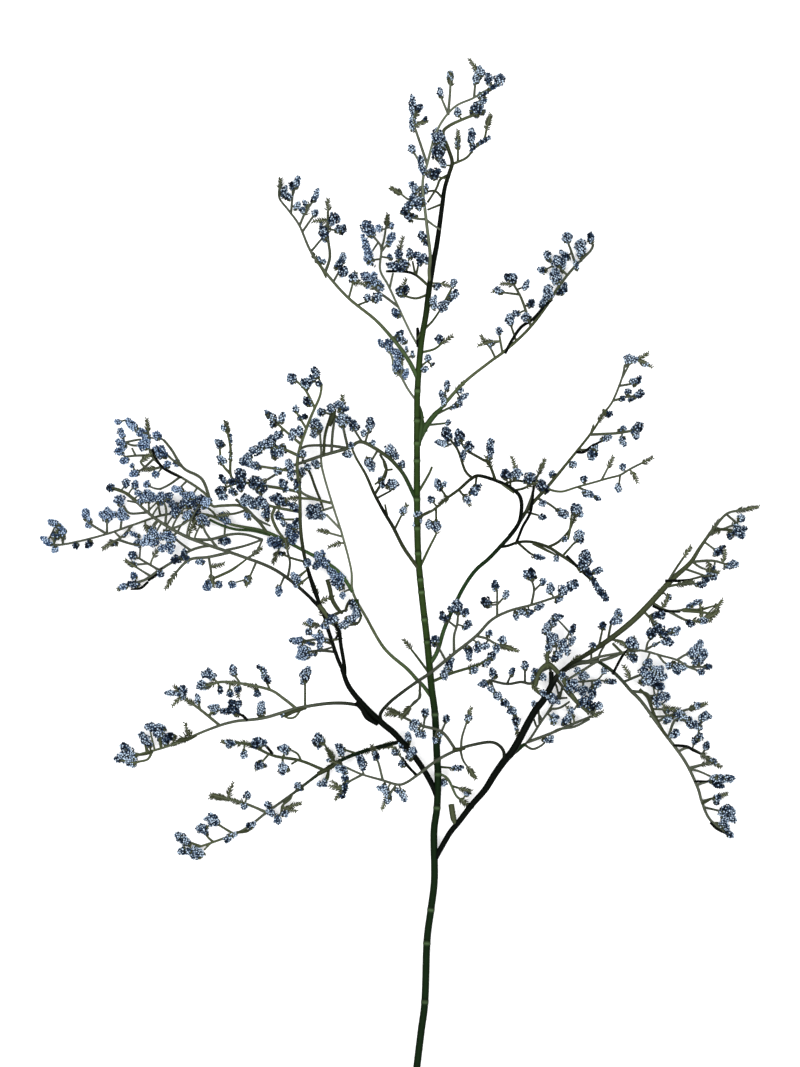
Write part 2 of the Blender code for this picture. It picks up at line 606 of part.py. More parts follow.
def right_arch():
    """The spray that rises beside the stem, bends over and comes back to it."""
    return {
        "name": "right_arch",
        "parent": "main_stem",
        "radii": (1.6, 1.45, 1.5, 1.3, 0.9),
        "route": [
            (7.5, 336, 30.3), (13.6, 346, 33), (19.2, 364, 35), (25.6, 379, 36), (34.4, 397, 37.5),
            (44, 411, 39), (55.2, 421, 41), (65.6, 432, 43), (73.6, 441, 45), (79.2, 450, 48),
            (81, 460, 51), (80.5, 468, 53), (76.8, 474, 55), (65.6, 481, 57), (48, 486.8, 58),
            (40.8, 484.4, 58), (31.2, 476, 58), (21.6, 469, 57), (11.2, 460, 56), (3.2, 455.6, 55),
        ],
        "twigs": [
            [(42, 485), (36, 491), (30.4, 507), (24, 516)],
            [(60.8, 484), (55.2, 496), (48.8, 500.4), (37.6, 507), (33, 513)],
            [(55.2, 496), (56, 506)],
            [(67, 480.5), (76.8, 483), (89, 481)],
            [(45, 486), (44, 477)],
            [(31, 476), (36, 469)],
            [(22, 469), (15, 479)],
            [(13, 461), (13, 450)],
        ],
        "heads": [
            (21.6, 520, 12.8, 9), (18, 513, 10, 5.6), (31.2, 519, 11, 9), (39, 510, 9.6, 8),
            (34.4, 503, 9.6, 5), (56, 508, 19, 6.4, 2), (68, 488, 9.6, 8), (77, 488, 9.6, 9),
            (87, 485, 11, 9, 50), (14.4, 480, 11, 6.4), (9, 468, 6.4, 6), (13, 447, 9.6, 8, 180),
            (7, 448, 8, 6, 190), (37.6, 468, 6.4, 6, 150), (44, 475, 9.6, 6.4, 180),
        ],
        "sprigs": [(74, 497), (27, 467)],
    }


def right_middle_spray():
    return {
        "name": "right_middle_spray",
        "parent": "right_arch",
        "radii": (1.05, 1.05, 1.2, 1.1, 0.9),
        "route": [
            (64, 430, 42.7), (70, 431, 46), (79.2, 434, 50), (89.6, 434, 50), (102.4, 430, 48),
            (112, 424, 46), (122.4, 417, 44), (132.8, 409, 41), (142, 398, 38),
        ],
        "twigs": [
            [(102.4, 430), (110.4, 434), (119, 443), (124, 455)],
            [(114, 423), (123, 433)],
            [(78, 433.5), (88, 425), (93, 423)],
        ],
        "heads": [
            (132, 420, 16, 11, 10), (141.6, 411, 9.6, 5.6, 70), (127, 439, 11, 9), (126, 460, 9.6, 8),
            (115.5, 436, 5, 5), (95, 422, 11, 5, 100), (109, 421, 6, 5, 190), (144, 395, 22, 6.4, 143),
        ],
        "sprigs": [(119, 449)],
    }


def tall_right_spray():
    return {
        "name": "tall_right_spray",
        "parent": "right_arch",
        "radii": (1.4, 1.3, 1.0, 0.85, 0.7),
        "route": [
            (71.5, 439, 44.5), (77, 446, 40), (82, 454, 37), (88.8, 463.6, 35), (103.2, 479.6, 32),
            (118.4, 498, 30), (136.8, 521, 27), (147.2, 537, 26), (154.4, 547, 25), (161.6, 565, 25),
            (164, 576, 25),
        ],
        "twigs": [
            [(84, 457), (89.6, 471), (92, 482), (96, 491)],
            [(85, 458), (96, 455)],
            [(94, 469), (103.2, 464.4), (113, 457)],
            [(136, 520), (156, 521), (168, 522.8), (173, 524)],
            [(154.4, 547), (165, 550), (173, 551)],
            [(159, 559), (172, 561)],
            [(163, 574), (174, 580)],
            [(126, 508), (137, 508)],
            [(136.8, 521), (139, 528)],
        ],
        "heads": [
            (122.4, 496, 7, 6.4), (138.4, 508, 11, 7, 40), (149, 517, 11, 5), (175, 526, 9.6, 8, 40),
            (173, 519, 6.4, 6, 120), (162, 516, 6.4, 6, 180), (163, 525, 5, 5), (151.2, 536.4, 6.4, 6),
            (166.4, 554, 6.4, 6), (175, 552, 11, 6.4, 60), (174, 563, 11, 5.6, 40), (167, 580, 9.6, 8),
            (97, 479, 11, 8), (106, 488, 6.4, 6), (98, 465, 6.4, 6), (98, 454, 6.4, 5.6, 90),
            (114, 457, 11, 8, 120),
        ],
        "sprigs": [(97, 494), (141, 530), (177, 583), (181, 576)],
    }


def small_level_spray():
    return {
        "name": "small_level_spray",
        "parent": "tall_right_spray",
        "radii": (0.9, 0.8, 0.75, 0.65, 0.6),
        "route": [
            (101.5, 477, 32.3), (107, 475, 38), (114.4, 474.5, 42), (125.6, 478, 43), (140, 482, 43),
            (150.4, 485, 42), (160, 487.6, 41), (168, 492.4, 40), (177, 497, 39),
        ],
        "twigs": [
            [(126, 478), (134, 474), (141, 470)],
            [(145, 484), (150, 493)],
            [(160, 487), (159, 479)],
        ],
        "heads": [
            (131, 484, 6.4, 6), (134.5, 472.5, 11, 7, 110), (142, 469, 6, 5, 110), (162, 494, 6.4, 6),
            (158.5, 477, 8, 6, 170),
        ],
        "sprigs": [(151, 496), (180, 499), (171, 486)],
    }


def low_right_branch():
    """The thick dark branch that most of the right side grows from."""
    return {
        "name": "low_right_branch",
        "parent": "main_stem",
        "radii": (2.0, 2.2, 2.8, 2.4, 1.5),
        "route": [
            (11, 178, 12.5), (17.6, 190, 15), (24, 201, 17.5), (31.2, 210, 19.5), (41.6, 223.6, 22),
            (52, 235.6, 24), (60, 248.4, 26), (68, 259.6, 28), (75.2, 268.4, 29), (90.4, 296.4, 32),
            (99.2, 308.4, 33), (108, 324, 34), (115.2, 331.6, 34), (125.6, 337, 34), (143, 338.8, 34),
        ],
        "twigs": [
            [(29, 208), (26, 218)],
            [(106, 321), (104, 333), (101.6, 341), (103, 360)],
            [(103, 350), (113, 352), (120, 362)],
            [(103.5, 334), (95, 329), (89, 321), (80.8, 322), (69.6, 320.4), (55, 323.6)],
            [(92, 323), (92, 330)],
            [(109, 325), (114.4, 318), (120, 311), (129, 303), (139, 296)],
            [(84, 321.6), (84, 333)],
            [(69.6, 320.4), (73, 328)],
            [(56, 322), (60, 313), (68, 306), (73, 300), (77, 290), (78, 283)],
        ],
        "heads": [
            (26, 219, 11, 2.8, -15), (121.6, 319, 12.8, 10, 30), (131, 306, 12.8, 10, 60),
            (138, 302, 9.6, 8, 60), (143, 303, 7, 7, 90), (107, 371, 9.6, 6.4, 10), (102.4, 365, 11, 6),
            (108, 356, 9.6, 6.4), (122, 364, 9.6, 5), (114, 352, 9.6, 8), (121.6, 355, 9, 5, 30),
            (110.4, 344, 8, 5), (58.4, 329, 9.6, 6.4, -20), (51, 320.5, 9.6, 6.4, -100),
            (73.6, 330, 8, 5), (84, 335, 8, 6.4), (62, 311, 8, 7, 120), (68, 305, 8, 7, 135),
            (73, 299, 8, 7, 150), (77, 291, 8, 7, 165), (92, 330, 6.4, 5.5), (105, 310, 9.6, 6.4, 160),
        ],
        "sprigs": [(78, 282), (100, 345)],
    }


def right_back_spray():
    """A thin spray under the low right branch, close to the surface."""
    return {
        "name": "right_back_spray",
        "parent": "low_right_branch",
        "radii": (0.9, 0.9, 0.85, 0.85, 0.8),
        "route": [
            (70, 262, 28.2), (77, 267, 19), (86, 273.5, 14), (96, 288, 13), (104, 300, 12),
            (109, 308, 12), (119, 321, 12), (131, 322, 12), (143, 323.5, 12),
        ],
        "twigs": [
            [(86, 273), (102.4, 279.6), (124.8, 289), (137, 294)],
            [(98, 291), (92, 302)],
            [(131, 322), (130.4, 314)],
            [(138, 322.5), (138, 314)],
        ],
        "heads": [
            (108, 293, 8, 6.4), (119, 293, 8, 6), (102.4, 275, 9.6, 5, 100), (91.5, 304, 6, 5),
            (130.4, 327, 8, 7), (130, 314, 8, 7, 180), (138, 313, 11, 7, 180), (148, 331, 6.4, 6),
            (153, 322, 10, 5, 90),
        ],
        "sprigs": [(120, 297), (138, 296)],
    }


def upper_outer_spray():
    """The spray of the right side that reaches furthest up and right."""
    return {
        "name": "upper_outer_spray",
        "parent": "low_right_branch",
        "radii": (1.4, 2.0, 2.3, 1.3, 0.8),
        "route": [
            (113, 330, 34), (121, 337, 39), (132.8, 344, 43), (151, 356, 44), (168.8, 370, 43),
            (183, 384, 40), (201.6, 404, 34), (216, 417, 28), (224, 429, 22), (234.4, 443.6, 15),
            (243, 454, 11), (249, 458, 9), (262, 460.4, 7),
        ],
        "twigs": [
            [(246, 456), (254, 449), (256, 445)],
            [(216.8, 418), (234, 419), (246, 416)],
            [(228, 434), (236, 428)],
            [(212, 412), (228, 407)],
            [(196, 398), (212.8, 401), (224, 400)],
            [(196, 398), (203, 410), (211, 422)],
            [(184.8, 386), (198, 379), (211, 380), (218, 384)],
            [(198, 379), (214, 371), (225, 371)],
            [(178.4, 379), (189, 368), (197, 360)],
            [(150, 355.5), (153, 369), (157, 375)],
            [(143, 350.5), (146, 365)],
        ],
        "heads": [
            (257.6, 453, 7, 7, 60), (255.5, 443, 15, 7.5, 150), (239, 426, 9.6, 7, 60),
            (249, 415.6, 12.8, 6.4, 70), (230.5, 406, 11, 6.4, 60), (225, 400, 9.6, 5.6, 90),
            (220, 385, 9.6, 5, 60), (216, 369, 8, 6, 120), (226.4, 371, 8, 6, 80),
            (191.5, 375, 10, 5, 120), (190.4, 365, 11, 9, 140), (184, 361, 9, 7, 190),
            (202.4, 362, 9.6, 6.4, 110), (198.4, 355, 9.6, 6, 150), (158.4, 378, 6.4, 6),
            (155, 370.5, 8, 6.4, 60), (146, 367, 7, 6.4),
        ],
        "sprigs": [(265, 461), (243, 423), (231, 413), (212, 425), (196, 387), (238, 384), (234, 376)],
    }


def level_outer_spray():
    return {
        "name": "level_outer_spray",
        "parent": "low_right_branch",
        "radii": (1.1, 0.9, 0.8, 0.7, 0.65),
        "route": [
            (134, 338.6, 34), (141, 341.5, 38), (150, 343.5, 38), (161.6, 345.5, 36),
            (172.8, 347.6, 34), (183, 346, 33), (193.6, 343, 32), (205.6, 339.6, 30), (215, 334, 28),
            (223, 331, 27),
        ],
        "twigs": [
            [(205.6, 339.6), (213, 344), (219, 346)],
            [(215, 334), (229, 334)],
            [(166, 346), (169, 352)],
        ],
        "heads": [
            (221, 347, 12.8, 9, 40), (230.4, 334, 8, 5, 90), (225, 330, 7, 5.6, 120),
            (205, 333, 12, 7, 160), (168.8, 353, 11, 9), (171, 341, 8, 7, 170),
        ],
        "sprigs": [(163, 349)],
    }


def falling_outer_spray():
    """The spray that runs out to the right and down, and comes to the surface at its end."""
    return {
        "name": "falling_outer_spray",
        "parent": "low_right_branch",
        "radii": (1.3, 1.3, 1.25, 1.1, 0.9),
        "route": [
            (142, 338.8, 34), (146.4, 336, 31.5), (153.6, 331, 28), (161, 324, 25), (168.8, 315, 22),
            (177.6, 306, 20), (193.6, 284, 15), (212, 259, 10.5), (222.4, 238, 7), (226.4, 225, 5.3),
            (233, 211, 4.2), (248, 199.5, 3.4),
        ],
        "twigs": [
            [(169, 314.5), (182.4, 312), (186, 301), (191, 288)],
            [(163, 322), (178, 328), (190, 330)],
            [(183, 311), (193, 310)],
            [(190, 290), (206, 297), (222, 302)],
            [(199, 277), (206, 292), (224, 285)],
            [(207, 266), (215, 269), (224, 265), (233, 259)],
            [(216, 252), (229, 256)],
            [(222, 239), (234, 243), (245, 245)],
            [(226, 226), (237, 229)],
            [(228, 221), (241, 218)],
        ],
        "heads": [
            (179.2, 331, 9.6, 8), (184, 337, 8, 5), (191.5, 331, 9.6, 8, 40), (186, 325, 16, 10, 90),
            (192, 318, 9, 7, 90), (194, 310, 12.8, 9, 90), (222.4, 303, 6.4, 6),
            (227, 294, 11, 6.4, 30), (207, 294, 11, 8, 100), (218, 288, 11, 8, 115),
            (198.4, 291, 8, 5.6, 60), (204, 280, 9.6, 7, 60), (224, 278, 7, 7, 40),
            (229.6, 270, 6.4, 6), (235, 258, 7, 5.6, 110), (238, 244, 12.8, 8, 80),
            (248, 245, 9.6, 5.6, 90), (238.5, 229, 6.4, 6, 80), (246, 219, 11, 9, 70),
            (244, 209, 11, 6.4, 40), (249, 199, 6.4, 6, 110),
        ],
        "sprigs": [(213, 304), (196, 300), (231, 257), (240, 232), (238, 213)],
    }


def left_crossing_spray():
    """The spray that arches left from the low right branch, in front of the stem and the left branch."""
    return {
        "name": "left_crossing_spray",
        "parent": "low_right_branch",
        "radii": (1.2, 1.2, 1.1, 0.95, 0.75),
        "route": [
            (67, 258, 27.7), (67, 266, 34), (63, 271.5, 38), (56, 274, 40), (43.2, 272, 41),
            (31.2, 268.4, 42), (14.4, 260, 42), (-1.6, 248, 42), (-10.4, 242, 42), (-17.6, 240, 42),
            (-30.4, 243.6, 41), (-47, 248.4, 39), (-62, 255, 37),
        ],
        "twigs": [
            [(-46, 248), (-57, 242), (-61.6, 236)],
            [(-45, 248), (-47, 257)],
            [(-30, 243.6), (-32.8, 256), (-35, 262)],
            [(-3.2, 247.5), (-16, 263)],
            [(28.8, 267.5), (17.6, 282), (1.6, 287), (-9.6, 292), (-17, 296)],
            [(32.8, 269), (33.6, 278), (38, 292)],
            [(32, 269), (34.4, 259.6), (39, 253)],
            [(17, 282), (21, 291)],
            [(3, 287), (4, 295)],
        ],
        "heads": [
            (-64, 253, 8, 6.4, -100), (-60, 245, 7, 6), (-61, 235, 9.6, 5.6, 200), (-47.2, 259, 9.6, 7),
            (-35.2, 263, 8, 6), (-28.8, 237, 8, 5.6, 190), (-14.4, 233, 7, 6.4, 180),
            (-1.5, 281, 7, 6, 190), (4, 297, 8, 6.4), (21, 292.4, 7, 6.4), (-5.6, 288, 6.4, 6),
            (12, 276, 6, 5, 190), (38.4, 293, 8, 6.4),
        ],
        "sprigs": [(-67, 238), (-26, 231), (-19, 297), (40, 251), (-17, 265)],
    }


PARTS = [
    main_stem, leader, thin_back_spray, upper_left_spray, small_back_spray, upper_right_spray,
    arched_middle_spray, straight_middle_spray, long_left_branch, far_left_spray, far_left_upper_spray,
    low_left_branch, tall_left_spray, far_left_middle_spray, far_left_low_spray, lower_left_spray,
    lowest_left_spray, right_crossing_spray, right_arch, right_middle_spray, tall_right_spray,
    small_level_spray, low_right_branch, right_back_spray, upper_outer_spray, level_outer_spray,
    falling_outer_spray, left_crossing_spray,
]


def mesh_object(name, mesh, collection, material):
    obj = bpy.data.objects.new(name, mesh)
    mesh.materials.clear()
    mesh.materials.append(material)
    collection.objects.link(obj)
    return obj


def three_sided_section(collection):
    """A flat curve with three corners, which a thin twig's curve is bevelled with."""
    curve = bpy.data.curves.new("section", "CURVE")
    spline = curve.splines.new("POLY")
    spline.points.add(2)
    for number, point in enumerate(spline.points):
        turn = math.tau * number / 3
        point.co = (MM * math.cos(turn), MM * math.sin(turn), 0.0, 1.0)
    spline.use_cyclic_u = True
    section = bpy.data.objects.new("section", curve)
    collection.objects.link(section)
    return section


def tube(name, points, radii, sides, collection, material, tilt=0.0):
    """A tapered round rod along the points, made as a bevelled curve and turned into a closed mesh."""
    curve = bpy.data.curves.new(name, "CURVE")
    curve.dimensions = "3D"
    curve.twist_mode = "Z_UP"
    section = None
    if sides == 3:
        section = three_sided_section(collection)
        curve.bevel_mode = "OBJECT"
        curve.bevel_object = section
    else:
        curve.bevel_depth = MM
        curve.bevel_resolution = (sides - 4) // 2
    curve.use_fill_caps = True
    spline = curve.splines.new("POLY")
    spline.points.add(len(points) - 1)
    for point, place, radius in zip(spline.points, points, radii):
        point.co = (*placed(place), 1.0)
        point.radius = radius
        point.tilt = tilt
    source = bpy.data.objects.new(name + "_curve", curve)
    collection.objects.link(source)
    bpy.context.view_layer.update()
    evaluated = source.evaluated_get(bpy.context.evaluated_depsgraph_get())
    mesh = bpy.data.meshes.new_from_object(evaluated)
    bpy.data.objects.remove(source, do_unlink=True)
    if section:
        bpy.data.objects.remove(section, do_unlink=True)
    shape = bmesh.new()
    shape.from_mesh(mesh)
    bmesh.ops.remove_doubles(shape, verts=shape.verts, dist=0.00001)
    bmesh.ops.recalc_face_normals(shape, faces=shape.faces)
    bmesh.ops.triangulate(shape, faces=shape.faces)
    shape.to_mesh(mesh)
    shape.free()
    return mesh_object(name, mesh, collection, material)


def lined_up(axis, place):
    """The matrix that stands a shape's +Z along the axis, at a place on the sheet."""
    turn = Vector((0, 0, 1)).rotation_difference(axis).to_matrix().to_4x4()
    return Matrix.Translation(placed(place)) @ turn @ Matrix.Scale(MM, 4)


def head(name, place, axis, length, width, root, collection, material):
    """An egg-shaped head: rings of buds, each ring turned half a step, which stand out unevenly.

    The point nearest to the root, if it has one, is drawn out to it as the short stalk that carries it."""
    sides = 3 if width < 9 else 4
    rings = 1 if length < 10 else 2
    draw = random.Random(name)
    shape = bmesh.new()
    bmesh.ops.create_uvsphere(shape, u_segments=sides, v_segments=rings + 1, radius=1.0)
    for vertex in shape.verts:
        level = round(math.acos(max(-1.0, min(1.0, vertex.co.z))) / math.pi * (rings + 1))
        turn = math.atan2(vertex.co.y, vertex.co.x) + (level % 2) * math.pi / sides
        out = math.hypot(vertex.co.x, vertex.co.y) * width / 2
        if 0 < level < rings + 1:
            out *= draw.uniform(BUD_LEAST, BUD_MOST)
        vertex.co = (out * math.cos(turn), out * math.sin(turn), vertex.co.z * length / 2)
    bmesh.ops.triangulate(shape, faces=shape.faces)
    bmesh.ops.recalc_face_normals(shape, faces=shape.faces)
    bmesh.ops.transform(shape, matrix=lined_up(axis, place), verts=shape.verts)
    if root:
        foot = placed(root)
        nearest = min(shape.verts, key=lambda vertex: (vertex.co - foot).length)
        nearest.co = foot
    mesh = bpy.data.meshes.new(name)
    shape.to_mesh(mesh)
    shape.free()
    return mesh_object(name, mesh, collection, material)


def sprig(name, place, root, run, collection, material):
    """A flat comb-like sprig on its own stalk: a thin blade with forward-pointing teeth on both sides."""
    stalk = place - root
    if stalk.length < SPRIG_LENGTH / 2:
        stalk = run * SPRIG_LENGTH / 2
        place = root + stalk
    axis = stalk.normalized()
    curve = bpy.data.curves.new(name, "CURVE")
    curve.dimensions = "2D"
    curve.fill_mode = "BOTH"
    curve.extrude = SPRIG_THICKNESS / 2
    right = [(SPRIG_STEM_HALF_WIDTH, -stalk.length)]
    for tooth in range(SPRIG_TEETH):
        foot = -0.5 + 0.8 * tooth / SPRIG_TEETH
        reach = SPRIG_WIDTH / 2 * (1 - 0.2 * tooth)
        right.append((SPRIG_STEM_HALF_WIDTH, foot * SPRIG_LENGTH))
        right.append((reach, (foot + 0.3) * SPRIG_LENGTH))
    outline = right + [(0.0, SPRIG_LENGTH / 2)] + [(-x, y) for x, y in reversed(right)]
    spline = curve.splines.new("POLY")
    spline.points.add(len(outline) - 1)
    for point, (x, y) in zip(spline.points, outline):
        point.co = (x, y, 0.0, 1.0)
    spline.use_cyclic_u = True
    source = bpy.data.objects.new(name + "_curve", curve)
    collection.objects.link(source)
    bpy.context.view_layer.update()
    evaluated = source.evaluated_get(bpy.context.evaluated_depsgraph_get())
    mesh = bpy.data.meshes.new_from_object(evaluated)
    bpy.data.objects.remove(source, do_unlink=True)
    side = Vector((axis.y, -axis.x, 0.0)).normalized()
    turn = Matrix((side, axis, side.cross(axis))).transposed().to_4x4()
    shape = bmesh.new()
    shape.from_mesh(mesh)
    bmesh.ops.remove_doubles(shape, verts=shape.verts, dist=0.001)
    bmesh.ops.triangulate(shape, faces=shape.faces)
    place_in_part = Matrix.Translation(placed(place)) @ turn @ Matrix.Scale(MM, 4)
    bmesh.ops.transform(shape, matrix=place_in_part, verts=shape.verts)
    bmesh.ops.recalc_face_normals(shape, faces=shape.faces)
    shape.to_mesh(mesh)
    shape.free()
    return mesh_object(name, mesh, collection, material)


def nearest_on(lines, x, y):
    """The point of the lines that lies nearest to x, y on the sheet, and the direction of its line."""
    best = None
    for line in lines:
        for start, end in zip(line, line[1:]):
            run = Vector(end) - Vector(start)
            flat = run.x * run.x + run.y * run.y
            along = ((x - start[0]) * run.x + (y - start[1]) * run.y) / max(flat, 1e-9)
            spot = Vector(start) + run * max(0.0, min(1.0 - ROOT_INSET / run.length, along))
            gap = math.hypot(spot.x - x, spot.y - y)
            if best is None or gap < best[0]:
                best = (gap, spot, run.normalized())
    return best


def ringed(route, radii, rings):
    """The route and its radii, which are given at even steps, with a short swelling at each ring mark."""
    lengths = [0.0]
    for start, end in zip(route, route[1:]):
        lengths.append(lengths[-1] + (Vector(end) - Vector(start)).length)
    taper = []
    for length in lengths:
        mark = min(length / lengths[-1] * (len(radii) - 1), len(radii) - 1.001)
        low = int(mark)
        taper.append(radii[low] + (radii[low + 1] - radii[low]) * (mark - low))
    if not rings:
        return route, taper
    taper[1] = taper[0]
    points, sizes = [], []
    for place, size in zip(route, taper):
        if round(place[1]) in rings:
            for step, swell in ((-RING_HALF_WIDTH, 0.0), (0.0, RING_SWELL), (RING_HALF_WIDTH, 0.0)):
                points.append((place[0], place[1] + step, place[2] + step * 0.1))
                sizes.append(size + swell)
        else:
            points.append(place)
            sizes.append(size)
    return points, sizes


def union_of(base, collection):
    """The base joined with every object of the collection, as one mesh. The collection is emptied."""
    join = base.modifiers.new("join", "BOOLEAN")
    join.operation = "UNION"
    join.solver = "MANIFOLD"
    join.operand_type = "COLLECTION"
    join.collection = collection
    join.material_mode = "TRANSFER"
    apply_modifier(base)
    for obj in list(collection.objects):
        bpy.data.objects.remove(obj, do_unlink=True)


def apply_modifier(obj):
    bpy.context.view_layer.update()
    evaluated = obj.evaluated_get(bpy.context.evaluated_depsgraph_get())
    mesh = bpy.data.meshes.new_from_object(evaluated)
    obj.modifiers.clear()
    obj.data = mesh


def cut_clear(obj, cutter):
    """Cuts the root of a spray to the shape of the stem that carries it, with the fit gap between them."""
    cut = obj.modifiers.new("clear", "BOOLEAN")
    cut.operation = "DIFFERENCE"
    cut.solver = "MANIFOLD"
    cut.object = cutter
    apply_modifier(obj)
    bpy.data.objects.remove(cutter, do_unlink=True)


def outer_shell_only(obj):
    """Drops any loose scrap, and fills any sealed hollow, by keeping only the largest closed shell."""
    shape = bmesh.new()
    shape.from_mesh(obj.data)
    unseen = set(shape.verts)
    shells = []
    while unseen:
        shell = {unseen.pop()}
        edge_of_shell = list(shell)
        while edge_of_shell:
            vertex = edge_of_shell.pop()
            for edge in vertex.link_edges:
                other = edge.other_vert(vertex)
                if other in unseen:
                    unseen.discard(other)
                    shell.add(other)
                    edge_of_shell.append(other)
        shells.append(shell)
    largest = max(shells, key=len)
    scraps = [vertex for shell in shells if shell is not largest for vertex in shell]
    bmesh.ops.delete(shape, geom=scraps, context="VERTS")
    shape.to_mesh(obj.data)
    shape.free()


def laid_out(plan, number, route):
    """The heights and directions of a spray's twigs, heads and sprigs, all drawn with the spray's own seed.

    A twig climbs or falls evenly from its root, and a head or sprig stands near the line it grows from."""
    draw = random.Random(HEAD_SEED + number)
    lines = [route]
    for twig in plan["twigs"]:
        root = nearest_on(lines, *twig[0])[1]
        slope = draw.uniform(-TWIG_RISE, TWIG_RISE)
        points = [tuple(root)]
        for x, y in twig[1:]:
            run = math.hypot(x - points[-1][0], y - points[-1][1])
            points.append((x, y, points[-1][2] + slope * run))
        lines.append(points)
    heads = []
    for x, y, length, width, *turned in plan["heads"]:
        gap, root, run = nearest_on(lines, x, y)
        rise = max(-HEAD_MOST_RISE, min(HEAD_MOST_RISE, draw.uniform(-1, 1) * (1.5 + HEAD_RISE * gap)))
        if turned:
            angle = math.radians(turned[0])
            axis = Vector((math.sin(angle), math.cos(angle), 0.0))
        else:
            away = Vector((x - root.x, y - root.y, 0.0)) / max(length, 1.0)
            axis = Vector((run.x, run.y, 0.0)) * 0.35 + away + Vector((0.0, 0.45, 0.0))
        axis = (axis.normalized() + Vector((0, 0, rise * 0.05))).normalized()
        heads.append((Vector((x, y, root.z + rise)), axis, length, width))
    sprigs = [Vector((x, y, nearest_on(lines, x, y)[1].z + draw.uniform(-1, 1))) for x, y in plan["sprigs"]]
    return lines[1:], heads, sprigs


def reach_of(points):
    return sum((Vector(b) - Vector(a)).length for a, b in zip(points, points[1:]))


def build_part(plan, routes, collection, pieces, green, blue):
    """One spray or stem: its route, twigs, heads and sprigs, joined and cut clear of what carries it.

    The shortest twigs are left out, and so are the smallest heads and two sprigs in three."""
    name = plan["name"]
    is_stem = "parent" not in plan
    route, radii = ringed(plan["route"], plan["radii"], plan.get("rings"))
    sides = STEM_SIDES if is_stem else BRANCH_SIDES if radii[0] > THIN_BRANCH_RADIUS else THIN_BRANCH_SIDES
    twigs, heads, sprigs = laid_out(plan, len(routes), route)
    routes[name] = (route, radii, sides)
    base = tube(name, route, radii, sides, collection, green, math.pi / sides)
    lines = [route]
    for number, points in enumerate(twigs):
        reach = reach_of(points)
        if reach < TWIG_LEAST_LENGTH:
            continue
        thick = min(TWIG_RADIUS + TWIG_THICKENING * reach, TWIG_MOST_RADIUS)
        sizes = [thick * (1 - (1 - TWIG_TAPER) * k / (len(points) - 1)) for k in range(len(points))]
        tube(f"{name}_twig_{number}", points, sizes, TWIG_SIDES, pieces, green)
        lines.append(points)
    for number, (place, axis, length, width) in enumerate(heads):
        if length < HEAD_LEAST_LENGTH:
            continue
        root = nearest_on(lines, place.x, place.y)[1]
        on_twig = (place - root).length < HEAD_ROOT_SUNK * min(length, width)
        head(f"{name}_head_{number}", place, axis, length, width, None if on_twig else root, pieces, blue)
    for number, place in enumerate(sprigs[::SPRIGS_KEPT]):
        root, run = nearest_on(lines, place.x, place.y)[1:]
        sprig(f"{name}_sprig_{number}", place, root, run, pieces, green)
    union_of(base, pieces)
    if not is_stem:
        points, sizes, around = routes[plan["parent"]]
        last = Vector(points[-1])
        beyond = last + (last - Vector(points[-2])).normalized() * FIT_GAP
        longer = points[:-1] + [tuple(beyond)]
        fatter = [size + FIT_GAP / math.cos(math.pi / around) for size in sizes]
        cutter = tube("cutter", longer, fatter, around, collection, green, math.pi / around)
        cut_clear(base, cutter)
    outer_shell_only(base)
    return base


def build_spray():
    clear_scene()
    spray = bpy.data.collections.new("dried_statice")
    pieces = bpy.data.collections.new("pieces_to_join")
    bpy.context.scene.collection.children.link(spray)
    bpy.context.scene.collection.children.link(pieces)
    stem_green = plain_material("stem_green", STEM_GREEN, 0.5)
    branch_green = plain_material("branch_green", BRANCH_GREEN, 0.5)
    head_blue = plain_material("head_blue", HEAD_BLUE, 0.6)
    routes = {}
    for plan in PARTS:
        part = plan()
        green = branch_green if "parent" in part else stem_green
        build_part(part, routes, spray, pieces, green, head_blue)


build_spray()
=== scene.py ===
import math
import random

import bpy
import numpy as np
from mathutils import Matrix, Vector


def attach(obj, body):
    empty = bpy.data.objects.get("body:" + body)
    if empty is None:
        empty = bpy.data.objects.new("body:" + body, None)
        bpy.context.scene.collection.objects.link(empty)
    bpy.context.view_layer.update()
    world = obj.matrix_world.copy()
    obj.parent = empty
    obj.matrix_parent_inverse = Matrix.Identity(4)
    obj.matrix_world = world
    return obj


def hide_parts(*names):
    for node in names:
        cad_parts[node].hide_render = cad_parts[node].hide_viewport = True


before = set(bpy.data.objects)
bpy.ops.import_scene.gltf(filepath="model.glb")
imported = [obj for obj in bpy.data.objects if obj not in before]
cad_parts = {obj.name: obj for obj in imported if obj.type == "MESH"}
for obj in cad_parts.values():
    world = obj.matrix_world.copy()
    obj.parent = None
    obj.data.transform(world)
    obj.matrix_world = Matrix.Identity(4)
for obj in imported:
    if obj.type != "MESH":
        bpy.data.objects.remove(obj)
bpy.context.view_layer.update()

# The main stem: one round green stem moulded in plastic, cut square at the foot, with raised ring marks and
# a forked tip. Its short twigs, beaded heads and comb-like sprigs are moulded straight onto it.
# Lengths are in millimetres on a sheet: x to the right, y from the foot to the tip, z up from the surface.
SHEET_MIDDLE = (-16.2, 406.9)
MM = 0.001
ROOT_INSET = 0.7
LEAST_SQUARE = 1e-9


def nearest_on(lines, x, y):
    """The point of the lines nearest to x, y in the view from above, and the direction of its line there.

    On a span that is the share ((x, y) - start) . run / run . run of the way along it, both taken level,
    and never less than ROOT_INSET from the span's end."""
    best = None
    for line in lines:
        for start, end in zip(line, line[1:]):
            run = Vector(end) - Vector(start)
            flat = run.x * run.x + run.y * run.y
            along = ((x - start[0]) * run.x + (y - start[1]) * run.y) / max(flat, LEAST_SQUARE)
            spot = Vector(start) + run * max(0.0, min(1.0 - ROOT_INSET / run.length, along))
            gap = math.hypot(spot.x - x, spot.y - y)
            if best is None or gap < best[0]:
                best = (gap, spot, run.normalized())
    return best


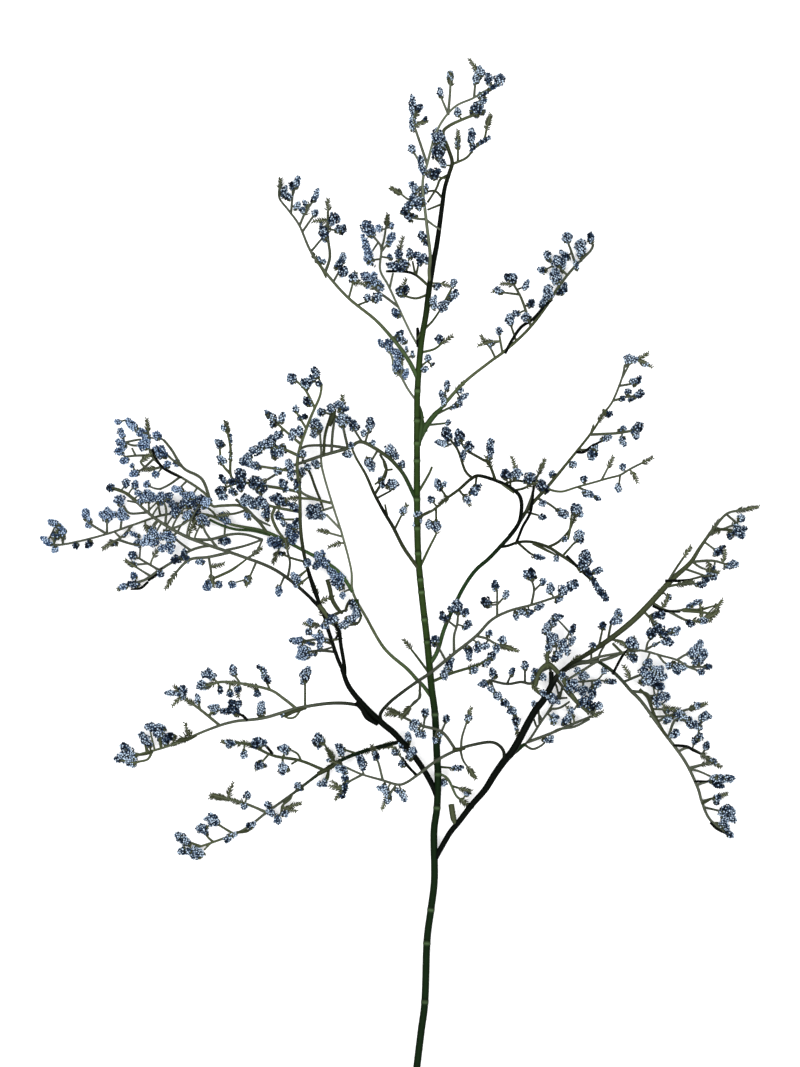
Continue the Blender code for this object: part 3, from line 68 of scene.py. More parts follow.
TWIG_RISE = 0.22
HEAD_NEAR_RISE = 1.5
HEAD_RISE = 0.3
HEAD_MOST_RISE = 3.5
HEAD_TILT = 0.05
HEAD_ALONG_LINE = 0.35
HEAD_TO_TIP = 0.45


def laid_out(draw, lines, twigs, heads, sprigs):
    """Heights and directions of a spray's twigs, heads and sprigs, by the same draws as its solid.

    A twig climbs or falls evenly from its root, by up to 0.22 of its run. A head stands off the line it
    grows from by up to 1.5 mm and 0.3 of its distance. It points the way it is turned on the sheet, or else
    away from its line, along it and towards the tip. A sprig stands off its line by up to 1 mm."""
    lines = list(lines)
    for twig in twigs:
        root = nearest_on(lines, *twig[0])[1]
        slope = draw.uniform(-TWIG_RISE, TWIG_RISE)
        points = [tuple(root)]
        for x, y in twig[1:]:
            run = math.hypot(x - points[-1][0], y - points[-1][1])
            points.append((x, y, points[-1][2] + slope * run))
        lines.append(points)
    placed_heads = []
    for x, y, length, width, *turned in heads:
        gap, root, run = nearest_on(lines, x, y)
        rise = draw.uniform(-1, 1) * (HEAD_NEAR_RISE + HEAD_RISE * gap)
        rise = max(-HEAD_MOST_RISE, min(HEAD_MOST_RISE, rise))
        if turned and turned[0] is not None:
            angle = math.radians(turned[0])
            axis = Vector((math.sin(angle), math.cos(angle), 0.0))
        else:
            away = Vector((x - root.x, y - root.y, 0.0)) / max(length, 1.0)
            axis = Vector((run.x, run.y, 0.0)) * HEAD_ALONG_LINE + away + Vector((0.0, HEAD_TO_TIP, 0.0))
        axis = (axis.normalized() + Vector((0, 0, rise * HEAD_TILT))).normalized()
        shift = turned[1] if len(turned) > 1 else 0.0
        placed_heads.append((Vector((x, y, root.z + rise)), axis, length, width, root, run, shift))
    placed_sprigs = []
    for x, y in sprigs:
        root, run = nearest_on(lines, x, y)[1:]
        placed_sprigs.append((Vector((x, y, root.z + draw.uniform(-1, 1))), root, run))
    return lines, placed_heads, placed_sprigs


def flowing(points, sizes, step):
    """A smooth line through the points, one sample each step: on each span the cubic
    p = p1 + (p2-p0)t/2 + (p0-5p1/2+2p2-p3/2)t^2 + (3p1-p0-3p2+p3)t^3/2, and the size runs evenly."""
    line = np.array([tuple(p) for p in points], float)
    sizes = np.array(sizes, float)
    ends = np.vstack([2 * line[0] - line[1], line, 2 * line[-1] - line[-2]])
    counts = np.maximum(1, np.ceil(np.linalg.norm(np.diff(line, axis=0), axis=1) / step).astype(int))
    span = np.repeat(np.arange(len(counts)), counts)
    t = (np.arange(len(span)) - np.repeat(np.cumsum(counts) - counts, counts)) / counts[span]
    p0, p1, p2, p3 = (ends[span + k] for k in range(4))
    t = t[:, None]
    curve = p1 + (p2 - p0) * t / 2 + (p0 - 2.5 * p1 + 2 * p2 - p3 / 2) * t ** 2
    curve = curve + (3 * p1 - p0 - 3 * p2 + p3) * t ** 3 / 2
    width = sizes[span] * (1 - t[:, 0]) + sizes[span + 1] * t[:, 0]
    return np.vstack([curve, line[-1:]]), np.append(width, sizes[-1])


FOOT_BULGE = 0.1
TIP_BULGE = 0.5
PAINTED_SIDE_SHADE = 0.35
PAINTED_TOP_LIGHT_GAIN = 0.85


def rod(path, radius, tints, sides):
    """A closed round rod: corner j of ring i stands at path_i + radius_i (side_i cos a_j + over_i sin a_j),
    where side is level and square to the run, and over is square to both. Fans close the two ends.
    The tint is painted light and shade: 1.2 times itself along the top, as painted light from above, falling
    to 0.35 at the sides and below, as painted shade."""
    run = np.gradient(path, axis=0)
    run /= np.linalg.norm(run, axis=1)[:, None]
    side = np.cross(run, (0.0, 0.0, 1.0))
    side /= np.linalg.norm(side, axis=1)[:, None]
    over = np.cross(side, run)
    angle = np.arange(sides) * math.tau / sides
    around = side[:, None] * np.cos(angle)[None, :, None] + over[:, None] * np.sin(angle)[None, :, None]
    rings = (path[:, None] + radius[:, None, None] * around).reshape(-1, 3)
    count = len(path)
    i, j = np.meshgrid(np.arange(count - 1), np.arange(sides), indexing="ij")
    a, b = i * sides + j, i * sides + (j + 1) % sides
    walls = np.stack([np.stack([a, b + sides, b], -1), np.stack([a, a + sides, b + sides], -1)], 2)
    j = np.arange(sides)
    foot, tip = count * sides, count * sides + 1
    low = np.stack([np.full(sides, foot), j, (j + 1) % sides], -1)
    high = np.stack([np.full(sides, tip), foot - sides + (j + 1) % sides, foot - sides + j], -1)
    foot_point = path[:1] - run[:1] * radius[0] * FOOT_BULGE
    tip_point = path[-1:] + run[-1:] * radius[-1] * TIP_BULGE
    # Painted light and shade: lighter along the top of the rod, darker at its sides and underside.
    shade = PAINTED_SIDE_SHADE + PAINTED_TOP_LIGHT_GAIN * np.maximum(np.sin(angle), 0.0)
    colours = np.vstack([(tints[:, None] * shade[None, :, None]).reshape(-1, 3), tints[:1], tints[-1:]])
    return np.vstack([rings, foot_point, tip_point]), np.vstack([walls.reshape(-1, 3), low, high]), colours


def small_ball():
    """A ball of twenty faces and radius 1, whose corners are the even turns of (0, 1, golden ratio)."""
    g = (1 + math.sqrt(5)) / 2
    corners = np.array([
        (-1, g, 0), (1, g, 0), (-1, -g, 0), (1, -g, 0), (0, -1, g), (0, 1, g),
        (0, -1, -g), (0, 1, -g), (g, 0, -1), (g, 0, 1), (-g, 0, -1), (-g, 0, 1),
    ]) / math.sqrt(1 + g * g)
    faces = np.array([
        (0, 11, 5), (0, 5, 1), (0, 1, 7), (0, 7, 10), (0, 10, 11), (1, 5, 9), (5, 11, 4), (11, 10, 2),
        (10, 7, 6), (7, 1, 8), (3, 9, 4), (3, 4, 2), (3, 2, 6), (3, 6, 8), (3, 8, 9), (4, 9, 5),
        (2, 4, 11), (6, 2, 10), (8, 6, 7), (9, 8, 1),
    ])
    return corners, faces


BALL = small_ball()
SPINDLE = (
    np.array([(0, 0, 1), (1, 0, 0), (0, 1, 0), (-1, 0, 0), (0, -1, 0), (0, 0, -1)], float),
    np.array([(0, 1, 2), (0, 2, 3), (0, 3, 4), (0, 4, 1), (5, 2, 1), (5, 3, 2), (5, 4, 3), (5, 1, 4)]),
)
NEARLY_UPRIGHT = 0.9
LIGHT_FROM = 0.5
LIGHT_BLEND = 0.3


def frames_along(axes, turns):
    """For each unit axis, the three directions of a shape whose +Z stands on it, turned about it: the first
    is (level x axis) cos turn + (axis x (level x axis)) sin turn, and the second is square to both."""
    level = np.where(np.abs(axes[:, 2:]) < NEARLY_UPRIGHT, (0.0, 0.0, 1.0), (1.0, 0.0, 0.0))
    across = np.cross(level, axes)
    across /= np.linalg.norm(across, axis=1)[:, None]
    third = np.cross(axes, across)
    c, s = np.cos(turns)[:, None], np.sin(turns)[:, None]
    return np.stack([across * c + third * s, third * c - across * s, axes], axis=2)


def scattered(shape, centres, frames, sizes, dark, light):
    """Copies of a small shape, stretched by their own three sizes: corner p of copy k is
    centre_k + frame_k (size_k p). Its colour runs from dark inside to light at its outer end; on the beads of
    a head that light end is a painted glint."""
    corners, faces = shape
    points = centres[:, None] + np.einsum("kij,kpj->kpi", frames, sizes[:, None] * corners[None])
    faces = faces[None] + (np.arange(len(centres)) * len(corners))[:, None, None]
    share = np.clip((corners[:, 2] - LIGHT_FROM) / LIGHT_BLEND, 0, 1)[None, :, None]
    colours = dark[:, None] * (1 - share) + light[:, None] * share
    return points.reshape(-1, 3), faces.reshape(-1, 3), colours.reshape(-1, 3)


NAVY = np.array((0.0015, 0.003, 0.006))
MID_BLUE = np.array((0.042, 0.08, 0.15))
GLINT_PALE_BLUE = np.array((0.56, 0.7, 0.86))
CLEAR_BLUE = np.array((0.17, 0.3, 0.58))
SPRIG_GREEN = np.array((0.066, 0.075, 0.042))


def blue(value):
    """Navy at 0, mid blue at a half and pale blue at 1, with even steps between."""
    value = np.clip(value, 0, 1)[:, None]
    low = NAVY + (MID_BLUE - NAVY) * np.minimum(value * 2, 1)
    return low + (GLINT_PALE_BLUE - MID_BLUE) * np.maximum(value * 2 - 1, 0)


def drawn(draw, low, high, *shape):
    """An array of this shape, each value drawn evenly between low and high."""
    return np.array([draw.uniform(low, high) for _ in range(math.prod(shape))]).reshape(shape)


GOLDEN_TURN = math.pi * (3 - math.sqrt(5))
FULL_TURN = 6.28
LEAST_BEADS = 12
BEADS_PER_AREA = 0.78
BEAD_RADIUS = 0.95
BEAD_LEAST, BEAD_MOST = 0.7, 1.15
BEAD_STRETCH = np.array((1.0, 1.0, 1.2))
BEAD_SUNK = 0.4
BEAD_NEAR, BEAD_FAR = 0.86, 1.06
BEAD_LEAN = 0.12
LOBES, LOBE_TWIST, LOBE_DEPTH = 3, 5, 0.3
PLUME_FULLNESS = 0.88
PLUME_SWELL = 0.3
SHADE_CORE_SHARE = 0.85
INNER_BLUE = 0.1
GLINT_BLUE_GAIN = 1.2
GLINT_BLUE_LIFT = 0.25
CLEAR_INSIDE = 0.25
GREEN_BELOW = -0.6
GREEN_SHARE = 0.6
GREEN_INSIDE = 0.25
GREEN_OUTSIDE = 1.1


def head_of_beads(place, axis, length, width, tone, clear, draw):
    """A plume of round beads, narrow at its root: bead k stands at height 1 - 2k/n of the plume, turned k
    times by the golden angle, on a radius of sqrt(1 - height^2) (0.88 + swell height), swollen and pinched by
    0.3 of it in three soft lobes. Each bead is navy where it meets the others, and pale at its outer end as a
    painted glint. Clear blue is mixed in by the share `clear`, and less of it in a dark head. Most beads
    nearest the root are green, also with a lighter painted glint at the outer end, and a navy core fills the
    middle as painted shade between the beads."""
    count = max(LEAST_BEADS, round(length * width * BEADS_PER_AREA))
    k = np.arange(count) + 0.5
    height = 1 - 2 * k / count
    turn = k * GOLDEN_TURN + draw.uniform(0, FULL_TURN)
    lobes = 1 + LOBE_DEPTH * np.cos(LOBES * turn + LOBE_TWIST * height + draw.uniform(0, FULL_TURN))
    fullness = PLUME_FULLNESS + draw.uniform(-PLUME_SWELL, PLUME_SWELL) * height
    out = np.sqrt(1 - height ** 2) * fullness * lobes
    direction = np.stack([out * np.cos(turn), out * np.sin(turn), height], -1)
    half = np.array((width / 2 - BEAD_SUNK, width / 2 - BEAD_SUNK, length / 2 - BEAD_SUNK))
    frame_of = frames_along(np.array([tuple(axis)]), np.array([draw.uniform(0, FULL_TURN)]))[0]
    normal = direction / half + drawn(draw, -BEAD_LEAN, BEAD_LEAN, count, 3)
    normal /= np.linalg.norm(normal, axis=1)[:, None]
    centres = np.array(place) + (direction * half * drawn(draw, BEAD_NEAR, BEAD_FAR, count, 1)) @ frame_of.T
    frames = frames_along(normal @ frame_of.T, turn)
    sizes = drawn(draw, BEAD_LEAST, BEAD_MOST, count, 1) * BEAD_RADIUS * BEAD_STRETCH
    value = drawn(draw, 0, 1, count) + tone - 0.5
    clear *= min(max(2 * tone, 0), 1)
    # Painted glints: light is the pale highlight painted on each bead's outer end, dark is the bead's navy
    # body.
    dark = blue(value * INNER_BLUE) * (1 - clear) + CLEAR_BLUE * clear * CLEAR_INSIDE
    light = blue(value * GLINT_BLUE_GAIN + GLINT_BLUE_LIFT) * (1 - clear) + CLEAR_BLUE * clear
    green = (height < GREEN_BELOW) & (drawn(draw, 0, 1, count) < GREEN_SHARE)
    dark[green], light[green] = SPRIG_GREEN * GREEN_INSIDE, SPRIG_GREEN * GREEN_OUTSIDE
    middle = np.array([tuple(place)])
    # Painted shade: a navy core inside the head that darkens the gaps between the beads.
    core = scattered(BALL, middle, frame_of[None], np.array([half * SHADE_CORE_SHARE]), NAVY[None], NAVY[None])
    return [scattered(BALL, centres, frames, sizes, dark, light), core]


SCALE_WIDTH = 0.62
SCALE_FIRST, SCALE_LAST = 0.05, 0.98
SCALE_LIFT = 0.5
SCALE_LEAN_LEAST, SCALE_LEAN_MOST = 0.7, 1.3
SCALE_SHORT, SCALE_LONG = 0.75, 1.2
SCALE_ROOT_LENGTH, SCALE_LENGTH_LOSS = 1.1, 0.5
SCALE_DULL, SCALE_BRIGHT = 0.7, 1.25
SCALE_INSIDE = 0.6
SCALE_OUT = 0.8


def scales_along(path, axis, count, reach, colour, draw):
    """Thin scales on two sides of a stalk, by turns: scale k leans from the side by about 45 degrees towards
    the axis, and its half-length is reach (1.1 - 0.5 along_k), times a draw from 0.75 to 1.2."""
    along = np.linspace(SCALE_FIRST, SCALE_LAST, count)
    spots = np.stack([np.interp(along, np.linspace(0, 1, len(path)), path[:, n]) for n in range(3)], -1)
    side = np.cross(axis, (0.0, 0.0, 1.0))
    hand = np.where(np.arange(count) % 2 == 0, 1.0, -1.0)[:, None]
    lift = drawn(draw, -SCALE_LIFT, SCALE_LIFT, count, 1) * np.array((0.0, 0.0, 1.0))
    lean = drawn(draw, SCALE_LEAN_LEAST, SCALE_LEAN_MOST, count, 1)
    axes = side * hand + np.array(axis) * lean + lift
    axes /= np.linalg.norm(axes, axis=1)[:, None]
    long = drawn(draw, SCALE_SHORT, SCALE_LONG, count) * reach
    long = long * (SCALE_ROOT_LENGTH - SCALE_LENGTH_LOSS * along)
    sizes = np.stack([np.full(count, SCALE_WIDTH), np.full(count, SCALE_WIDTH), long], -1)
    tints = colour * drawn(draw, SCALE_DULL, SCALE_BRIGHT, count, 1)
    middles = spots + axes * long[:, None] * SCALE_OUT
    return scattered(SPINDLE, middles, frames_along(axes, along * 0), sizes, tints * SCALE_INSIDE, tints)


def even(points, value):
    """The same colour for each of the points."""
    return np.repeat(np.array(value)[None], len(points), axis=0)


STALK_BEND = 0.16
STALK_STEP = 1.6
STALK_ROOT_RADIUS, STALK_TIP_RADIUS = 0.95, 0.72
STALK_SIDES = 5


def stalk(root, run, place, axis, green):
    """A thin stalk that leaves its line along the run and bends over to meet a head or sprig on its axis:
    p = root (1-t)^2 + 2 bend t (1-t) + place t^2."""
    gap = (place - root).length
    bend = root + (place - root) * 0.5 + (run - axis) * gap * STALK_BEND
    t = np.linspace(0, 1, max(3, round(gap / STALK_STEP)))[:, None]
    path = np.array(root) * (1 - t) ** 2 + 2 * np.array(bend) * t * (1 - t) + np.array(place) * t ** 2
    size = np.linspace(STALK_ROOT_RADIUS, STALK_TIP_RADIUS, len(path))
    return path, rod(path, size, even(path, green), STALK_SIDES)


SPRIG_LENGTH = 11.0
SPRIG_SCALES = 14
SPRIG_SCALE_LENGTH = 2.5
SPRIG_DULL, SPRIG_BRIGHT = 0.75, 1.2


def sprig_of_scales(place, root, run, draw):
    """A comb-like green sprig: a thin stalk with scales on both sides of its outer part."""
    way = place - root
    if way.length < SPRIG_LENGTH / 2:
        way = run * SPRIG_LENGTH / 2
        place = root + way
    axis = way.normalized()
    tip = place + axis * SPRIG_LENGTH / 2
    green = SPRIG_GREEN * draw.uniform(SPRIG_DULL, SPRIG_BRIGHT)
    path, stem = stalk(root, run, tip, axis, green)
    first = int(len(path) * max(0.0, 1 - SPRIG_LENGTH / (tip - root).length))
    return [stem, scales_along(path[first:], axis, SPRIG_SCALES, SPRIG_SCALE_LENGTH, green, draw)]


RING_HALF_WIDTH = 1.1
RING_SWELL = 0.3
RING_TINT = np.array((0.035, 0.055, 0.025))
RING_SHADOW = 0.8
RING_SHADOW_ABOVE = 2.0
LEAST_SHADE = 0.15


def ring_marks(path, rings, above=0.0):
    """How much of a ring mark there is at each point of the stem: exp(-(distance/1.1)^2) for each ring, with
    all of them moved this far towards the tip."""
    return np.exp(-((path[:, 1:2] - above - np.array([rings])) / RING_HALF_WIDTH) ** 2).sum(axis=1)


FIRST_DRAW = 41
LEAST_RADIUS = 0.95
STEM_STEP, STEM_SIDES = 1.2, 12
BRANCH_STEP, BRANCH_SIDES = 2.5, 9
BRANCH_SWELL = 1.15
TWIG_RADIUS = 0.92
TWIG_THICKENING = 0.008
TWIG_MOST_RADIUS = 1.3
TWIG_TAPER = 0.8
TWIG_STEP, TWIG_SIDES = 2.0, 6
TWIG_DULL, TWIG_BRIGHT = 0.8, 1.15
BAND_LIFT = 0.5
BAND_TAPER = 0.6
BAND_STEP, BAND_SIDES = 1.5, 8
BAND_DULL, BAND_BRIGHT = 0.65, 0.85
STALK_DULL, STALK_BRIGHT = 0.7, 1.1
STALK_SUNK = 0.2
CALYX_FOOT, CALYX_END = 0.62, 0.15
CALYX_SCALES = (4, 6, 8)
CALYX_SCALE_LENGTH = 2.0
CALYX_TINT = SPRIG_GREEN * 0.8
HEAD_DARKEST, HEAD_PALEST = -0.3, 0.25


def grown(
    name, number, radii, route, twigs, heads, sprigs, greens, tone, clear=0.0, rings=(),
    small_twigs=(), small_heads=(), small_sprigs=(), bands=(),
):
    """One spray as one mesh in the row frame: its stem, twigs, stalks, beaded heads and sprigs, then the
    small ones that its solid leaves out, and the bands where its stems are thicker or run double. It takes
    the place of the solid of its name, and rides on the one body that there is.

    The route and each twig are points from the root outwards. A head is x, y, length, width and, where they
    are given, its angle on the sheet, clockwise from straight up, and how much paler or darker it is."""
    draw = random.Random(name)
    reach = np.cumsum([0.0] + [(Vector(b) - Vector(a)).length for a, b in zip(route, route[1:])])
    taper = np.interp(reach / reach[-1], np.linspace(0, 1, len(radii)), radii)
    taper = taper * (1.0 if rings else BRANCH_SWELL)
    path, size = flowing(route, np.maximum(taper, LEAST_RADIUS), STEM_STEP if rings else BRANCH_STEP)
    share = np.linspace(0, 1, len(path))
    marks = np.linspace(0, 1, len(greens))
    tints = np.stack([np.interp(share, marks, [green[n] for green in greens]) for n in range(3)], -1)
    if rings:
        marks = ring_marks(path, rings)
        # Painted shadow: a darker band a little towards the tip from each raised ring.
        shadow = ring_marks(path, rings, RING_SHADOW_ABOVE)
        size = size + RING_SWELL * marks
        shade = np.maximum(1 - RING_SHADOW * shadow, LEAST_SHADE)
        tints = tints * shade[:, None] + marks[:, None] * RING_TINT
    green_pieces = [rod(path, size, tints, STEM_SIDES if rings else BRANCH_SIDES)]
    blue_pieces = []
    draw_of_solid = random.Random(FIRST_DRAW + number)
    lines, placed_heads, placed_sprigs = laid_out(draw_of_solid, [route], twigs, heads, sprigs)
    lines, more_heads, more_sprigs = laid_out(draw, lines, small_twigs, small_heads, small_sprigs)
    for points in lines[1:]:
        length = sum((Vector(b) - Vector(a)).length for a, b in zip(points, points[1:]))
        thick = min(TWIG_RADIUS + TWIG_THICKENING * length, TWIG_MOST_RADIUS)
        line, sizes = flowing(points, np.linspace(thick, thick * TWIG_TAPER, len(points)), TWIG_STEP)
        at = min(len(tints) - 1, int(np.argmin(np.linalg.norm(path - line[0], axis=1))))
        tint = (tints[at] * 0.5 + np.array(greens[-1]) * 0.5) * draw.uniform(TWIG_DULL, TWIG_BRIGHT)
        green_pieces.append(rod(line, sizes, even(line, tint), TWIG_SIDES))
    for radius, colour, *spots in bands:
        points = [(x, y, nearest_on(lines, x, y)[1].z + BAND_LIFT) for x, y in spots]
        line, sizes = flowing(points, [radius] * (len(points) - 1) + [radius * BAND_TAPER], BAND_STEP)
        tint = np.array(colour) * draw.uniform(BAND_DULL, BAND_BRIGHT)
        green_pieces.append(rod(line, sizes, even(line, tint), BAND_SIDES))
    for place, axis, length, width, root, run, shift in placed_heads + more_heads:
        green = np.array(greens[-1]) * draw.uniform(STALK_DULL, STALK_BRIGHT)
        if (place - root).length > STALK_SUNK * min(length, width):
            green_pieces.append(stalk(root, run, place - axis * length * STALK_SUNK, axis, green)[1])
            calyx = np.linspace(
                np.array(place - axis * length * CALYX_FOOT), np.array(place - axis * length * CALYX_END), 3,
            )
            scales = draw.choice(CALYX_SCALES)
            green_pieces.append(scales_along(calyx, axis, scales, CALYX_SCALE_LENGTH, CALYX_TINT, draw))
        shift = shift or draw.uniform(HEAD_DARKEST, HEAD_PALEST)
        blue_pieces += head_of_beads(place, axis, length, width, tone + shift, clear, draw)
    for place, root, run in placed_sprigs + more_sprigs:
        green_pieces += sprig_of_scales(place, root, run, draw)
    piece = joined(name + "_finished", green_pieces, blue_pieces)
    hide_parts(name)
    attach(piece, "root")


def joined(name, green_pieces, blue_pieces):
    """All the shapes as one mesh, from millimetres on the sheet to metres round the origin:
    (point - middle of the sheet) times 0.001, and nothing lies lower than the surface."""
    shapes = green_pieces + blue_pieces
    starts = np.cumsum([0] + [len(points) for points, _, _ in shapes])
    points = np.vstack([shape[0] for shape in shapes]) - (*SHEET_MIDDLE, 0.0)
    faces = np.vstack([shape[1] + start for shape, start in zip(shapes, starts)])
    colours = np.vstack([shape[2] for shape in shapes])
    points[:, 2] = np.maximum(points[:, 2], 0.0)
    mesh = bpy.data.meshes.new(name)
    mesh.vertices.add(len(points))
    mesh.vertices.foreach_set("co", (points * MM).astype(np.float32).ravel())
    mesh.loops.add(faces.size)
    mesh.loops.foreach_set("vertex_index", faces.astype(np.int32).ravel())
    mesh.polygons.add(len(faces))
    mesh.polygons.foreach_set("loop_start", np.arange(0, faces.size, 3, dtype=np.int32))
    mesh.polygons.foreach_set("use_smooth", np.ones(len(faces), bool))
    green_faces = sum(len(shape[1]) for shape in green_pieces)
    mesh.polygons.foreach_set("material_index", (np.arange(len(faces)) >= green_faces).astype(np.int32))
    tint = mesh.attributes.new("tint", "FLOAT_COLOR", "POINT")
    rgba = np.ones((len(points), 4), np.float32)
    rgba[:, :3] = colours
    tint.data.foreach_set("color", rgba.ravel())
    mesh.update()
    mesh.validate()
    mesh.materials.append(moulded_green)
    mesh.materials.append(beaded_blue)
    piece = bpy.data.objects.new(name, mesh)
    bpy.context.scene.collection.objects.link(piece)
    return piece


def shaded_tint():
    """A node group: the tint that a piece carries, times 1 + change (noise - 0.5), so that it is a little
    lighter and darker in soft patches."""
    group = bpy.data.node_groups.new("shaded tint", "ShaderNodeTree")
    group.interface.new_socket("Tint", in_out="INPUT", socket_type="NodeSocketColor")
    group.interface.new_socket("Patch Size", in_out="INPUT", socket_type="NodeSocketFloat")
    group.interface.new_socket("Change", in_out="INPUT", socket_type="NodeSocketFloat")
    group.interface.new_socket("Colour", in_out="OUTPUT", socket_type="NodeSocketColor")
    nodes, links = group.nodes, group.links
    given, result = nodes.new("NodeGroupInput"), nodes.new("NodeGroupOutput")
    place = nodes.new("ShaderNodeTexCoord")
    patches = nodes.new("ShaderNodeTexNoise")
    centred = nodes.new("ShaderNodeMath")
    centred.operation = "SUBTRACT"
    centred.inputs[1].default_value = 0.5
    amount = nodes.new("ShaderNodeMath")
    amount.operation = "MULTIPLY_ADD"
    amount.inputs[2].default_value = 1.0
    shade = nodes.new("ShaderNodeVectorMath")
    shade.operation = "SCALE"
    links.new(place.outputs["Object"], patches.inputs["Vector"])
    links.new(given.outputs["Patch Size"], patches.inputs["Scale"])
    links.new(patches.outputs["Fac"], centred.inputs[0])
    links.new(centred.outputs[0], amount.inputs[0])
    links.new(given.outputs["Change"], amount.inputs[1])
    links.new(given.outputs["Tint"], shade.inputs[0])
    links.new(amount.outputs[0], shade.inputs["Scale"])
    links.new(shade.outputs[0], result.inputs["Colour"])
    return group


def finish_of(name, group, roughness, specular, patch_size, change):
    """A moulded finish: the shaded tint of the piece, with an even gloss."""
    material = bpy.data.materials.new(name)
    material.use_nodes = True
    nodes, links = material.node_tree.nodes, material.node_tree.links
    shader = nodes["Principled BSDF"]
    shader.inputs["Roughness"].default_value = roughness
    shader.inputs["Specular IOR Level"].default_value = specular
    carried = nodes.new("ShaderNodeAttribute")
    carried.attribute_name = "tint"
    shaded = nodes.new("ShaderNodeGroup")
    shaded.node_tree = group
    shaded.inputs["Patch Size"].default_value = patch_size
    shaded.inputs["Change"].default_value = change
    links.new(carried.outputs["Color"], shaded.inputs["Tint"])
    links.new(shaded.outputs["Colour"], shader.inputs["Base Color"])
    return material


tint_group = shaded_tint()
moulded_green = finish_of(
    "moulded_green", tint_group, roughness=0.55, specular=0.02, patch_size=180.0, change=0.5,
)
beaded_blue = finish_of(
    "beaded_blue", tint_group, roughness=0.55, specular=0.03, patch_size=400.0, change=0.3,
)

STEM_RADIUS = 2.95
DARK_GREEN = (0.003, 0.009, 0.0025)
STEM_GREEN = (0.014, 0.028, 0.006)
UPPER_GREEN = (0.027, 0.051, 0.017)
BLACK_GREEN = (0.0012, 0.002, 0.0012)
OLIVE = (0.05, 0.06, 0.03)

